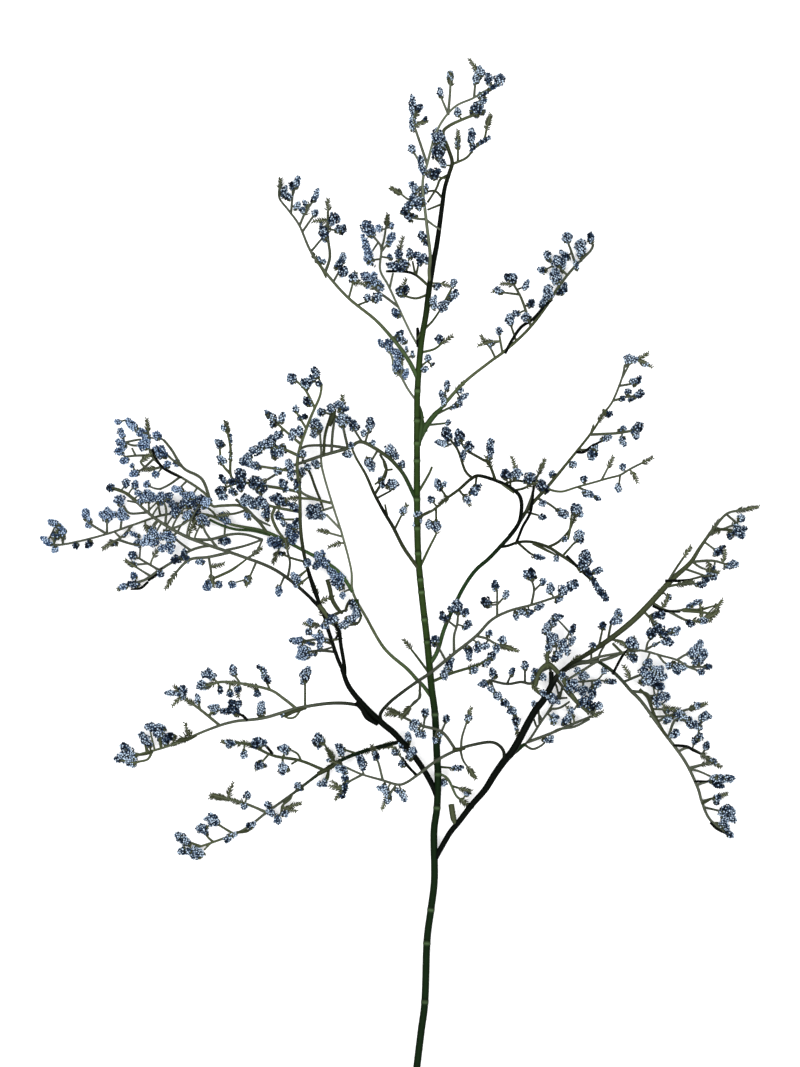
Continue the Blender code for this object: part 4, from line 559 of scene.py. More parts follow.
grown(
    "main_stem", 0, greens=(*[DARK_GREEN] * 5, *[STEM_GREEN] * 4, BLACK_GREEN, BLACK_GREEN, OLIVE),
    tone=0.5,
    radii=(STEM_RADIUS, 2.9, 2.8, 2.65, 2.4, 1.2),
    route=[
        (-4, 0, 2.587), (0.8, 40, 2.587), (4, 66, 3.5), (5.6, 113, 6), (8.8, 139, 8.5), (11.6, 164, 11),
        (11.2, 201, 15), (13.6, 221, 17), (14.4, 247, 20), (13.6, 262, 22), (12, 296, 26), (9.2, 318, 28.5),
        (6, 352, 32), (1.2, 394, 36.5), (-1.6, 426, 39.5), (-2.4, 468, 43.5), (-2.4, 500, 46),
        (-2.4, 532, 48.5), (-2, 556, 50.5), (0.8, 592, 53.5), (4.8, 616, 55.5), (7.2, 636, 57),
        (10.4, 656, 58.5), (13.6, 673, 60), (17.6, 702, 62), (19.6, 716, 63), (23.2, 728, 64),
        (25.6, 737, 64), (22.4, 748, 64), (18.4, 760, 64), (23.2, 766, 64), (36, 772, 64), (41.6, 774, 64),
    ],
    rings=[65, 112, 139, 221, 248, 259, 296, 354, 372, 394, 404, 425, 445, 468, 499, 513, 531, 555],
    twigs=[
        [(25.6, 735), (37.6, 741), (44, 751)], [(42, 747), (50.4, 754), (53.6, 766)],
        [(30.4, 737), (30.4, 752)], [(16.8, 704), (6, 699)], [(16.8, 708), (12, 714), (3.5, 713)],
        [(4, 603), (9.6, 610), (16, 619)], [(3.2, 585), (11.2, 588), (18, 593)], [(1.6, 573), (6.4, 579)],
        [(6.4, 638), (-4.8, 648), (-16, 650), (-27, 650)], [(5.6, 632), (-3.2, 628.5), (-14, 631)],
        [(-0.8, 472), (6.4, 487), (9.6, 494)], [(0.5, 413), (7.2, 429), (12.8, 440)],
        [(8, 327.6), (-0.8, 340), (-7, 348)], [(11.2, 322), (25.6, 329), (44.8, 335), (52, 339)],
        [(15, 254), (26, 253)], [(15, 249), (22.4, 244), (28.8, 231), (33.6, 227)],
        [(1.5, 604), (-2.5, 596)], [(-2.4, 526), (3, 534)],
    ],
    heads=[
        (41, 757, 16, 6.4), (15.2, 754, 22, 11, -12), (30, 777, 8, 6.4), (45, 780, 13, 9.6, 50),
        (3, 715, 8, 6.4), (9.6, 727, 11, 8), (18.4, 622, 9.6, 9), (25.6, 629, 14.4, 5, 50),
        (10.4, 627, 9.6, 5), (13.6, 638, 6.4, 6), (15.2, 596, 8, 6.4), (6.4, 581, 6.4, 6),
        (-8, 664, 9.6, 6.4), (-1.6, 662, 9.6, 6.4), (-19, 654, 17, 8, -80), (-17, 663, 9.6, 6.4),
        (-16, 633, 9.6, 6.4), (-0.8, 453, 12.8, 6, 10), (24, 337, 14.4, 6.4), (19, 328, 8, 6),
        (56.8, 342, 7, 7), (43, 331, 8, 5.6), (30, 253, 11, 5, 85, -0.3), (19, 241, 6.4, 6),
        (38, 233, 6.4, 6),
    ],
    sprigs=[
        (54.5, 769), (30.4, 757), (49, 785), (-14, 672), (21.6, 638), (-12, 639), (13, 445), (-9, 350),
        (33, 223),
    ],
    small_twigs=[
        [(23, 727), (16, 723), (13, 716), (6, 705)], [(-3, 648), (-6, 658)], [(-2, 648), (-1, 657)],
        [(21, 630), (25, 636)], [(24, 238), (34, 236)],
    ],
    small_heads=[
        (-2, 456, 7, 7, 5, 0.2), (-3, 448, 6, 6, 5, 0.2), (44, 777, 10, 7, -20, 0.2),
        (50, 777, 6, 5, 60, 0.1), (54, 756, 6, 4, 60, -0.4), (49, 753, 10, 4, 60, -0.2),
        (42, 748, 8, 4, 30, -0.2), (30, 752, 10, 4, 0, -0.1), (18, 749, 11, 6, 0, -0.4),
        (18, 736, 8, 6, -20, 0.1), (-13, 656, 10, 8, -60, 0.05), (-18, 653, 11, 5, -80, -0.1),
        (-13, 635, 10, 8, 60, -0.5), (27, 641, 7, 6, 20, 0.25), (11, 624, 10, 6, 0, 0.25),
        (26, 632, 11, 4, 45, -0.2), (4, 572, 6, 5, 50, 0.1), (10, 576, 5, 3, 60, -0.4),
        (22, 333, 8, 6, 200, 0.2), (20, 327, 8, 6, 200, -0.2), (53, 337, 8, 6, 60, -0.4),
        (58, 343, 8, 6, 20, -0.3), (14, 276, 11, 6, 10, 0.1),
    ],
    small_sprigs=[(43, 771), (51, 762), (31, 746), (7, 615), (18, 591), (36, 336), (33, 232), (30, 236)],
    bands=[
        (1.1, BLACK_GREEN, (-26, 650), (-16, 650), (-8, 649), (-2, 646)),
        (1.8, UPPER_GREEN, (-1, 511), (0, 519), (1, 525), (1, 532)),
    ],
)

# The leader: a thin olive branch that runs beside the stem and ends highest. It is moulded plastic,
# in one with its twigs and heads, and its root is set into the stem near the top.
GREY_OLIVE = (0.048, 0.055, 0.038)
GREY_GREEN = (0.08, 0.092, 0.062)
grown(
    "leader", 1, greens=(OLIVE, GREY_GREEN, GREY_GREEN, GREY_OLIVE), tone=0.5,
    radii=(1.3, 1.2, 1.0, 0.8, 0.7),
    route=[
        (8, 639.6, 57), (7.2, 650, 61.5), (8, 663, 66), (4.8, 691, 73), (2, 719, 77), (5.6, 735, 78),
        (13.6, 762, 79), (26.8, 780, 79), (43, 788, 79), (61, 799, 78),
    ],
    twigs=[
        [(20.8, 775), (24, 794), (24, 803)], [(20.8, 775), (16, 790)],
        [(43.2, 787.6), (44, 799), (46, 806)], [(5, 735), (-2.4, 759), (-5.6, 768)],
        [(3.2, 729), (-2.4, 740), (-6, 746)], [(2.5, 710), (-8, 706.8), (-15, 711)], [(6, 672), (1.6, 678)],
    ],
    heads=[
        (24, 805, 9.6, 6.4), (16, 792, 9.6, 5.6), (46.4, 807, 14.4, 8), (54.4, 803, 11, 6.4),
        (63, 802, 11, 9.6, 30), (48, 790, 6.4, 6), (-5.6, 780, 22, 6.4, -5), (-6.4, 747, 8, 6.4),
        (0.8, 736, 12.8, 5.6, -10), (-4.8, 717, 11, 5.6), (-1.6, 705, 12.8, 9.6), (-9, 702, 8, 7),
        (-10.4, 695, 14.4, 5.6, -30, -0.45), (1.6, 678, 9.6, 6.4),
    ],
    sprigs=[(29, 797), (41.6, 814), (-1, 777), (-17, 712)],
    small_twigs=[[(3, 691), (-4, 692), (-16, 696)], [(6, 691), (10, 687), (16, 683)]],
    small_heads=[
        (-6, 768, 14, 6, 0, 0.1), (-1, 780, 8, 6, 50, -0.4), (4, 771, 6, 4, 20, -0.3),
        (45, 804, 13, 6, 10, 0.05), (49, 808, 7, 7, 20, 0.3), (52, 792, 10, 4, 60, -0.3),
        (58, 796, 8, 4, 70, -0.3), (50, 785, 8, 4, 70, 0.1), (14, 744, 13, 10, 0, -0.2),
        (13, 755, 10, 8, 0, 0.1), (2, 731, 11, 6, -25, 0.1), (12, 728, 10, 7, 60, -0.45),
        (-4, 715, 10, 6, 0, 0.3), (5, 717, 5, 4, 0, 0.2), (2, 712, 8, 4, 60, -0.3),
        (-18, 713, 6, 5, -70, -0.1), (-6, 708, 8, 6, 0, -0.3), (-1, 703, 10, 6, 0, -0.1),
        (-10, 700, 6, 6, -60, -0.4), (-11, 696, 11, 4, -75, -0.5), (-6, 694, 8, 4, -75, -0.5),
        (5, 672, 6, 4, -50, -0.4), (4, 660, 10, 6, -30, -0.1), (0, 658, 8, 6, 0, -0.3),
    ],
    small_sprigs=[(1, 767), (28, 796), (-13, 711)],
)

# A thin grey-green plastic spray behind the others on the upper left, with long pale heads. It is set
# into the stem, and drops back towards the surface.
grown(
    "thin_back_spray", 2, greens=(GREY_GREEN, GREY_GREEN, GREY_OLIVE), tone=0.55, clear=0.25,
    radii=(0.85, 0.8, 0.7, 0.7, 0.6),
    route=[
        (0, 588, 53.2), (-8, 602, 48), (-20, 627.6, 41), (-25.6, 639.6, 38), (-32, 652, 36), (-31, 669, 34),
        (-36, 677, 34),
    ],
    twigs=[
        [(-36, 677), (-41, 684)], [(-31.2, 668), (-28.8, 676), (-27.2, 686)], [(-31.2, 666), (-24, 675)],
        [(-17.6, 622), (-25.6, 628.4), (-36, 636.4), (-39.2, 643.6)], [(-24, 637), (-21.6, 649)],
    ],
    heads=[
        (-41.6, 684, 16, 9.6, -25), (-23.2, 677, 11, 7, 30), (-42, 668, 26, 6.4, -19),
        (-38.8, 643, 20.8, 8.8, -53, 0.2), (-19.2, 617, 9.6, 7), (-32.8, 685, 6.4, 6),
    ],
    sprigs=[(-27, 690), (-22, 685)],
    small_heads=[
        (-23, 687, 6, 4, 0, 0.05), (-25, 673, 6, 5, 0, 0.1), (-40, 684, 13, 8, -30, 0.25),
        (-42, 661, 11, 6, -20, 0.1), (-42, 639, 6, 5, 180, 0.1), (-32, 639, 10, 6, 160, 0.1),
        (-37, 647, 6, 6, 30, 0.1), (-24, 662, 6, 4, -20, 0.1),
    ],
    small_sprigs=[(-36, 633)],
    bands=[(2, BLACK_GREEN, (-1, 590), (-2, 605))],
)

# The upper left spray: a smooth green plastic branch that leans out and turns straight up near its end.
# Its heads are small, in ones and twos on short twigs, and its root is set into the stem.
TWIG_GREY = (0.039, 0.045, 0.031)
grown(
    "upper_left_spray", 3, greens=(UPPER_GREEN, OLIVE, GREY_OLIVE, TWIG_GREY), tone=0.5,
    radii=(1.7, 1.2, 1.1, 0.9, 0.65),
    route=[
        (-1.6, 564, 51), (-7.2, 575.6, 53.5), (-14.4, 587, 55.5), (-22.4, 597, 57), (-36, 611.6, 58),
        (-56.8, 628.4, 57), (-72.8, 646, 54), (-87.2, 666, 47), (-96.4, 687, 36), (-104.8, 699, 28),
        (-112.8, 710, 18), (-112, 722, 10),
    ],
    twigs=[
        [(-103, 697), (-102, 712)], [(-96, 687), (-92, 697), (-84.8, 708)], [(-94, 682), (-85, 695)],
        [(-87.2, 666), (-78, 677)], [(-75.2, 650), (-72, 662), (-73.6, 678), (-73.6, 698)],
        [(-69, 642), (-62, 655)], [(-57, 628.5), (-53, 643)], [(-50, 623), (-40, 627)],
        [(-22.4, 597), (-17, 599)],
    ],
    heads=[
        (-109, 715, 11, 5), (-105, 710, 6.4, 6), (-98.4, 722, 11, 5.6), (-102.4, 719, 8, 5.6),
        (-98.4, 703, 8, 5.6, 40), (-83, 712, 11, 5), (-93.6, 699, 6.4, 6), (-84, 697, 6.4, 6),
        (-76.8, 680.4, 12.8, 8), (-68.8, 692, 11, 9.6), (-65, 684, 8, 7), (-81, 659, 6.4, 6),
        (-61.6, 661, 9.6, 6.4), (-61.6, 650, 9.6, 8), (-52.8, 645, 9.6, 8), (-42, 629, 7, 6),
        (-34.4, 629, 9.6, 8), (-16.8, 599, 11, 6.4),
    ],
    sprigs=[(-80, 690), (-73.6, 702), (-48, 640)],
    small_heads=[
        (-108, 712, 6, 6, 0, -0.2), (-92, 705, 6, 4, -20, -0.1), (-85, 708, 6, 5, 20, -0.3),
        (-62, 684, 9, 7, 30, -0.45), (-79, 687, 8, 3, 0, 0.05), (-76, 677, 8, 6, 180, 0.1),
        (-77, 658, 5, 4, 0, 0.05), (-65, 656, 11, 6, 35, -0.1), (-60, 649, 6, 5, 70, 0.05),
        (-14, 595, 8, 6, -50, -0.1), (-11, 588, 5, 3, 0, 0.2), (-6, 584, 6, 3, 0, 0.2),
    ],
    small_sprigs=[(-111, 716), (-94, 695), (-69, 680), (-78, 658), (-51, 638)],
    bands=[(1.3, OLIVE, (-82, 658), (-78, 652), (-75, 645))],
)

# A small pale clump of beaded plastic heads behind the upper left spray, on a few short twigs.
# It is moulded in one, and its root is set into the stem.
grown(
    "small_back_spray", 4, greens=(GREY_GREEN, GREY_GREEN), tone=0.6, clear=0.3,
    radii=(0.9, 0.9, 0.7),
    route=[
        (-2.4, 546, 49.6), (-9.6, 556, 44), (-15.2, 566, 39), (-20.8, 572, 36), (-22.4, 582, 34),
        (-27, 590, 33),
    ],
    twigs=[[(-15.2, 566), (-14, 578)]],
    heads=[
        (-31, 593, 8, 5), (-25, 592, 9.6, 8), (-18, 576, 17, 8), (-12, 568.4, 9.6, 6.4),
        (-15.2, 582, 6.4, 6),
    ],
    sprigs=[],
    small_heads=[
        (-24, 588, 11, 6, -60, 0.1), (-18, 584, 10, 8, -30, 0.2), (-17, 574, 11, 8, -20, -0.2),
        (-13, 568, 6, 6, 180, 0.05),
    ],
)

# The upper right spray: long and straight, of green plastic, with its root in the stem. Its outer end
# comes down to the surface, with its heads close together there and an olive fork near the root.
DARK_OLIVE = (0.03, 0.036, 0.017)
grown(
    "upper_right_spray", 5, greens=(UPPER_GREEN, OLIVE, DARK_OLIVE, TWIG_GREY), tone=0.5,
    radii=(1.6, 1.2, 1.1, 1.1, 0.9),
    route=[
        (-2.4, 511, 46.8), (4.8, 525, 46), (12.8, 536, 45), (33.6, 560, 41), (54.4, 577, 36), (68, 587, 32),
        (86.4, 604, 26), (101.6, 623.6, 19), (112, 640, 14), (124.8, 655.6, 10), (136.8, 667.6, 6.5),
        (139, 673, 5),
    ],
    twigs=[
        [(65.6, 586), (63, 602)], [(77, 595), (72, 610)], [(88.8, 607), (81.6, 628), (75.2, 640)],
        [(79, 632), (64, 634)], [(112, 640), (104, 662)], [(118, 648), (110, 656)],
        [(124.8, 656), (121, 668), (118, 676)], [(7.2, 527), (21, 529)],
        [(12.8, 536), (23, 541), (29, 543)], [(22, 547), (19, 552)],
    ],
    heads=[
        (56.8, 593, 6.4, 6), (63.2, 603, 7, 6), (72, 612, 11, 8), (77, 617, 6.4, 6), (85, 614, 8, 8),
        (74.4, 645, 9.6, 8), (63, 635, 8, 6), (85, 640, 9.6, 5), (88.8, 625, 8, 6.4, None, -0.4),
        (103, 634, 12.8, 8), (98, 624, 6.4, 6), (115, 637, 11, 6.4, 25), (108.8, 647, 14.4, 10),
        (102.4, 663, 9.6, 6.4), (110, 659, 11, 8), (116, 664, 11, 5.6), (98, 652, 8, 6.4),
        (129, 669, 17.6, 9), (118, 678, 9.6, 9), (137, 678, 9.6, 6.4), (21.6, 559, 9.6, 5),
        (18, 551, 9.6, 5.6), (29, 543, 11, 5, 70), (34.5, 550, 11, 5, 60), (22.5, 529.5, 5, 4.5),
    ],
    sprigs=[(52, 592), (70, 640)],
    small_twigs=[[(59, 583), (57, 588), (54, 592)]],
    small_heads=[
        (125, 656, 10, 5, -10, 0.1), (115, 658, 16, 5, 10, 0.05), (100, 628, 11, 6, 10, -0.1),
        (114, 635, 10, 5, 65, -0.3), (70, 646, 7, 6, -30, -0.45), (19, 546, 8, 5, 0, -0.2),
        (33, 555, 5, 3, 60, 0.05), (27, 542, 8, 3, 55, -0.4), (31, 546, 8, 3, 45, 0.05),
    ],
    small_sprigs=[(69, 634), (26, 555), (54, 590)],
    bands=[
        (1.5, UPPER_GREEN, (5, 522), (2, 530), (1, 537), (-1, 544)),
        (1.3, BLACK_GREEN, (68, 585), (74, 596), (81, 606), (91, 613), (100, 623), (106, 628)),
        (2.1, UPPER_GREEN, (-2, 510), (0, 517), (3, 524), (7, 530), (12, 536), (18, 542)),
    ],
)

# The arched middle spray, in dark green plastic: its root is set into the stem, and it rises, bends
# over and runs out level to the left.
DEEP_GREEN = (0.009, 0.024, 0.007)
grown(
    "arched_middle_spray", 6, greens=(DEEP_GREEN, DARK_OLIVE, TWIG_GREY, TWIG_GREY), tone=0.5,
    radii=(1.5, 1.4, 1.3, 1.2, 0.8),
    route=[
        (-2.4, 466, 43.5), (-12, 486, 43), (-19.2, 495.6, 42), (-28, 503.6, 41), (-46.4, 514, 40),
        (-57.6, 509, 39.5), (-78.4, 503, 39), (-96, 497, 38), (-107, 493, 37), (-122, 484, 35),
    ],
    twigs=[
        [(-46, 514), (-54, 526)], [(-44, 513), (-40, 526)], [(-57.6, 509), (-62, 529), (-62, 541)],
        [(-62, 525), (-71, 540)], [(-68, 535), (-78, 538)], [(-34, 507), (-40, 497)],
    ],
    heads=[
        (-24, 507, 11, 9), (-40, 496, 12.8, 8, 160), (-52.8, 527, 9.6, 8), (-40, 528, 12.8, 7),
        (-62.4, 531, 12.8, 10), (-71, 541, 8, 7), (-62.4, 543, 6.4, 6), (-79, 538, 7, 7, -60),
        (-14.4, 496, 6.4, 6),
    ],
    sprigs=[(-57, 541), (-124, 480)],
    small_twigs=[
        [(-57, 508), (-72, 511), (-89, 511), (-97, 508)], [(-71, 506), (-70, 520), (-69, 528), (-68, 538)],
    ],
    small_heads=[
        (-66, 544, 7, 6, 20, 0.05), (-61, 540, 10, 5, 75, -0.4), (-58, 532, 6, 7, 30, 0.1),
        (-45, 521, 6, 5, 20, 0.25), (-58, 504, 8, 6, 100, 0.1), (-38, 513, 6, 5, 30, 0.25),
        (-20, 503, 7, 6, 120, -0.3), (-90, 494, 6, 6, 30, 0.2),
    ],
    bands=[
        (2.2, DARK_OLIVE, (-73, 527), (-70, 534), (-68, 540)),
        (1.2, DARK_OLIVE, (-77, 503), (-76, 519), (-72, 533), (-70, 540)),
    ],
)

# The straight middle spray: a thin dark plastic branch that lies over the arched one. It is moulded in
# one with its twigs, and its root is set into the stem.
grown(
    "straight_middle_spray", 7, greens=(DARK_OLIVE, BLACK_GREEN, DARK_OLIVE), tone=0.5,
    radii=(1.4, 1.4, 1.3, 1.1, 0.8),
    route=[
        (0, 411, 38.2), (-12.8, 429, 46), (-21.6, 446, 51), (-28.8, 458, 54), (-36.8, 473, 56),
        (-43.2, 487.6, 57), (-51, 501, 58), (-54.4, 509, 58),
    ],
    twigs=[
        [(-36, 472), (-28, 486), (-27.2, 495), (-32, 504)], [(-34.4, 469), (-23.2, 475)],
        [(-25.6, 453), (-28, 464)], [(-20, 444), (-14, 457)],
    ],
    heads=[(-21.5, 480, 9.6, 8), (-31, 483, 8, 5.6), (-13.6, 459, 6.4, 6), (-55, 511, 6.4, 4.5)],
    sprigs=[(-19, 456)],
    small_twigs=[[(-30, 498), (-27, 492), (-22, 492)], [(-27, 492), (-30, 485), (-36, 480)]],
    small_heads=[(-30, 480, 6, 4, 0, -0.4), (-23, 480, 10, 8, 60, -0.5)],
)

# The long left branch: smooth plastic, mid green, set into the stem. It leans left and then turns
# straight up, and the far left sprays are set into it.
grown(
    "long_left_branch", 8, greens=(UPPER_GREEN, OLIVE, GREY_GREEN, GREY_GREEN), tone=0.5,
    radii=(1.5, 1.2, 0.9, 0.85, 0.75),
    route=[
        (10.5, 308, 27.3), (3.2, 318, 24), (-2.4, 323.6, 22), (-10.4, 332.4, 20), (-28.8, 349, 18),
        (-44, 375, 17), (-50.4, 386, 17), (-54.4, 396.4, 18), (-55.2, 412, 18.5), (-62.4, 440, 20),
        (-70.4, 465, 22), (-78.4, 493, 23), (-79.2, 508, 24), (-80, 520, 24),
    ],
    twigs=[
        [(-70.4, 465), (-82, 468), (-95, 474), (-96, 484)], [(-69.6, 462), (-82, 458)],
        [(-63, 438), (-72, 441)],
    ],
    heads=[(-84, 458, 16, 10, -60), (-95, 490, 8, 7), (-84, 497, 6.4, 6), (-81.5, 526, 9.6, 8)],
    sprigs=[(-74, 442), (-68, 431)],
    small_twigs=[[(-65, 444), (-75, 456)]],
    small_heads=[
        (-85, 521, 8, 6, 180, 0.2), (-86, 455, 11, 6, -85, 0.35), (-82, 462, 6, 6, 0, 0.05),
        (-79, 455, 8, 6, 90, 0.25), (-83, 495, 6, 5, -30, 0.2), (-54, 384, 8, 6, 180, -0.1),
    ],
    bands=[
        (1.1, DARK_OLIVE, (-94, 500), (-88, 489), (-84, 478), (-80, 468), (-77, 459)),
        (1.2, DARK_OLIVE, (-60, 378), (-58, 384), (-56, 388)),
        (2, STEM_GREEN, (-51, 388), (-50, 380), (-47, 374)),
    ],
)

# The far left spray: the longest side spray, low over the surface. It is moulded in one with its twigs
# and pale heads, of thinner plastic than the long left branch that it is set into.
grown(
    "far_left_spray", 9, greens=(UPPER_GREEN, UPPER_GREEN, OLIVE, GREY_OLIVE, TWIG_GREY),
    tone=0.5, clear=0.3,
    radii=(1.4, 1.2, 1.0, 0.75, 0.6),
    route=[
        (-54, 394, 17.8), (-62.4, 407, 16), (-72.8, 416, 15), (-96.8, 429, 14), (-123, 442, 13),
        (-151, 448, 12), (-172, 456, 11.5), (-201.6, 456.4, 11), (-230.4, 447.6, 10), (-251, 440.4, 9),
        (-276, 434, 8), (-292, 431.6, 7), (-302, 434.8, 6.5),
    ],
    twigs=[
        [(-251.2, 440.4), (-266.4, 450), (-268, 454)], [(-251, 441), (-251, 455)],
        [(-240, 444), (-239, 458), (-240.8, 465)], [(-230.4, 447), (-238.4, 438.8), (-246, 434)],
        [(-156, 449.5), (-157, 437)], [(-110, 435.5), (-114, 426)],
    ],
    heads=[
        (-78.4, 419, 18, 9, -45), (-66.5, 402, 16, 9, -35), (-301, 436, 8, 5, -60),
        (-288, 443, 14.4, 6.4, -20), (-293, 428, 6.4, 6, -140), (-276, 431, 5.6, 5.6, None, -0.45),
        (-265.6, 432, 8, 6.4, None, -0.45), (-268, 456, 11, 7), (-251, 456, 12.8, 8, None, 0.25),
        (-239, 456, 11, 8, None, 0.25), (-241, 467, 9.6, 9, None, 0.2), (-102.4, 442, 14.4, 10, -20),
        (-117, 434, 11, 7, -120), (-157, 435, 8, 5.6, 180), (-158, 454, 8, 7),
    ],
    sprigs=[(-292, 439), (-247, 432), (-115, 424)],
    small_twigs=[
        [(-208, 454), (-210, 465)], [(-240, 437), (-245, 442)], [(-246, 433), (-249, 436)],
        [(-239, 430), (-229, 432), (-216, 432)], [(-162, 454), (-166, 458), (-174, 464)],
    ],
    small_heads=[
        (-179, 464, 8, 8, -60, 0.05), (-203, 469, 8, 6, -20, -0.1), (-179, 465, 10, 8, 20, 0.05),
        (-198, 464, 7, 7, 0, 0.2), (-190, 464, 10, 6, 80, -0.4), (-255, 456, 6, 6, -90, 0.1),
        (-246, 456, 8, 6, -80, 0.2), (-237, 454, 8, 6, -90, 0.2), (-294, 449, 11, 6, -60, 0.15),
        (-288, 444, 10, 6, -55, 0.1), (-292, 439, 8, 6, -60, -0.3), (-298, 433, 8, 5, -60, 0.1),
        (-266, 452, 8, 5, -35, 0.1), (-266, 447, 6, 4, -90, 0.3), (-236, 440, 6, 3, 45, -0.5),
        (-245, 432, 6, 3, -110, -0.5), (-229, 440, 10, 4, -65, -0.2), (-179, 460, 11, 6, 0, -0.4),
        (-171, 449, 6, 5, 90, -0.3), (-155, 451, 8, 6, 120, 0.1), (-155, 435, 8, 6, 110, -0.3),
        (-158, 454, 6, 6, -70, 0.1), (-105, 441, 10, 6, 0, 0.1), (-102, 437, 10, 7, 180, -0.2),
        (-114, 433, 11, 9, -80, -0.3), (-119, 435, 8, 7, -80, 0.05), (-108, 432, 6, 6, 180, 0.3),
        (-112, 425, 8, 4, -80, -0.5), (-158, 435, 9, 6, -70, -0.4), (-83, 415, 7, 6, 60, -0.3),
        (-82, 423, 6, 6, -30, 0.1), (-78, 425, 6, 4, -10, 0.05), (-77, 417, 11, 7, -35, -0.1),
        (-70, 409, 11, 7, -40, 0.25), (-63, 406, 10, 6, -35, 0.1), (-62, 391, 6, 5, 180, 0.4),
    ],
    small_sprigs=[(-218, 444), (-180, 449), (-178, 451), (-116, 423)],
    bands=[(1.1, UPPER_GREEN, (-169, 452), (-158, 447), (-147, 444), (-134, 443), (-120, 439))],
)

# Two thin plastic twigs side by side that rise over the far left sprays and end in a close group of
# heads. Their common root is set into the far left spray.
grown(
    "far_left_upper_spray", 10, greens=(OLIVE, TWIG_GREY), tone=0.6, clear=0.35,
    radii=(1.1, 1.1, 1.0, 0.9, 0.7),
    route=[
        (-123, 442, 13), (-129, 450, 23), (-137.6, 458, 36), (-144, 463, 45), (-158.4, 463, 54),
        (-166, 463, 56), (-172, 473, 56), (-189.6, 485, 56), (-204, 493, 56), (-215, 504.4, 56),
        (-217, 522, 56),
    ],
    twigs=[
        [(-167, 464), (-174, 484), (-188.8, 493), (-198.4, 507.6), (-204.8, 515.6)],
        [(-214, 503), (-226, 503), (-236, 502)], [(-216, 513), (-228, 511), (-237, 514)],
        [(-217, 521), (-224, 522), (-234, 532)], [(-212, 501), (-222, 492), (-229, 489)],
    ],
    heads=[
        (-230, 528, 14, 6.4, -47), (-241, 530, 6, 5), (-239, 522, 6.4, 6), (-239, 513, 9.6, 6.4),
        (-240, 506, 8, 7, -60), (-236, 499, 8, 6.4, -100), (-224, 521, 6.4, 6), (-221, 511, 9.6, 8),
        (-228, 489, 9.6, 6.4, -110), (-211, 488, 6.4, 6), (-209.6, 519, 8, 6.4), (-207, 506, 11, 9),
        (-201.6, 496, 6.4, 6), (-194.4, 497, 6.4, 6),
    ],
    sprigs=[(-217, 524)],
    small_twigs=[
        [(-235, 515), (-229, 515), (-223, 516)], [(-227, 503), (-230, 509)],
        [(-205, 495), (-210, 493), (-217, 492), (-223, 498), (-219, 501)],
        [(-192, 485), (-200, 480), (-208, 476)], [(-186, 483), (-191, 478)],
        [(-190, 493), (-198, 500), (-206, 508)], [(-213, 478), (-208, 476)],
        [(-139, 460), (-147, 457), (-154, 456)],
    ],
    small_heads=[
        (-170, 466, 8, 8, -60, 0.3), (-230, 526, 11, 5, -50, 0.25), (-222, 521, 10, 6, -30, 0.1),
        (-218, 518, 11, 6, -10, -0.1), (-238, 519, 6, 4, -80, 0.1), (-237, 510, 6, 8, -80, 0.35),
        (-219, 513, 10, 7, -20, 0.05), (-230, 495, 4, 4, -90, 0.1), (-211, 518, 8, 4, -35, 0.2),
        (-211, 508, 6, 6, -60, -0.1), (-204, 503, 6, 6, -20, -0.4), (-208, 504, 8, 6, 0, -0.1),
        (-218, 480, 6, 6, -50, 0.1), (-194, 476, 10, 6, -80, 0.3), (-188, 472, 8, 6, -60, 0.1),
        (-182, 471, 7, 6, 0, 0.3), (-171, 465, 10, 8, 30, 0.25), (-138, 455, 8, 5, -25, 0.3),
    ],
    small_sprigs=[(-228, 497), (-209, 490), (-151, 457)],
    bands=[
        (1.2, BLACK_GREEN, (-214, 508), (-211, 501), (-206, 494), (-198, 489), (-190, 485)),
        (1.2, GREY_GREEN, (-147, 468), (-138, 460), (-130, 452), (-120, 447)),
    ],
)

# The low left branch: thick plastic, nearly black, set into the stem near its foot. It carries most of
# the left side.
grown(
    "low_left_branch", 11, greens=(BLACK_GREEN, BLACK_GREEN), tone=0.5,
    radii=(2.1, 2.1, 2.3, 2.2, 1.7),
    route=[
        (14, 229, 18), (10.4, 238, 18.3), (4.8, 248.4, 19.5), (-3.2, 260.4, 21), (-12, 271, 23),
        (-20.8, 281, 25.5), (-30.4, 289, 28), (-44.8, 303, 31), (-56.8, 318, 33.5), (-62.4, 332.4, 35),
    ],
    twigs=[[(-9, 267), (-10, 275)]],
    heads=[(-9.5, 277, 11, 5.6), (-6, 266, 8, 6.5, 80)],
    sprigs=[],
    small_heads=[
        (-15, 273, 10, 6, -20, 0.1), (-12, 269, 8, 5, -20, 0.1), (-8, 264, 11, 7, 0, 0.05),
        (-6, 266, 8, 6, 20, 0.1),
    ],
)

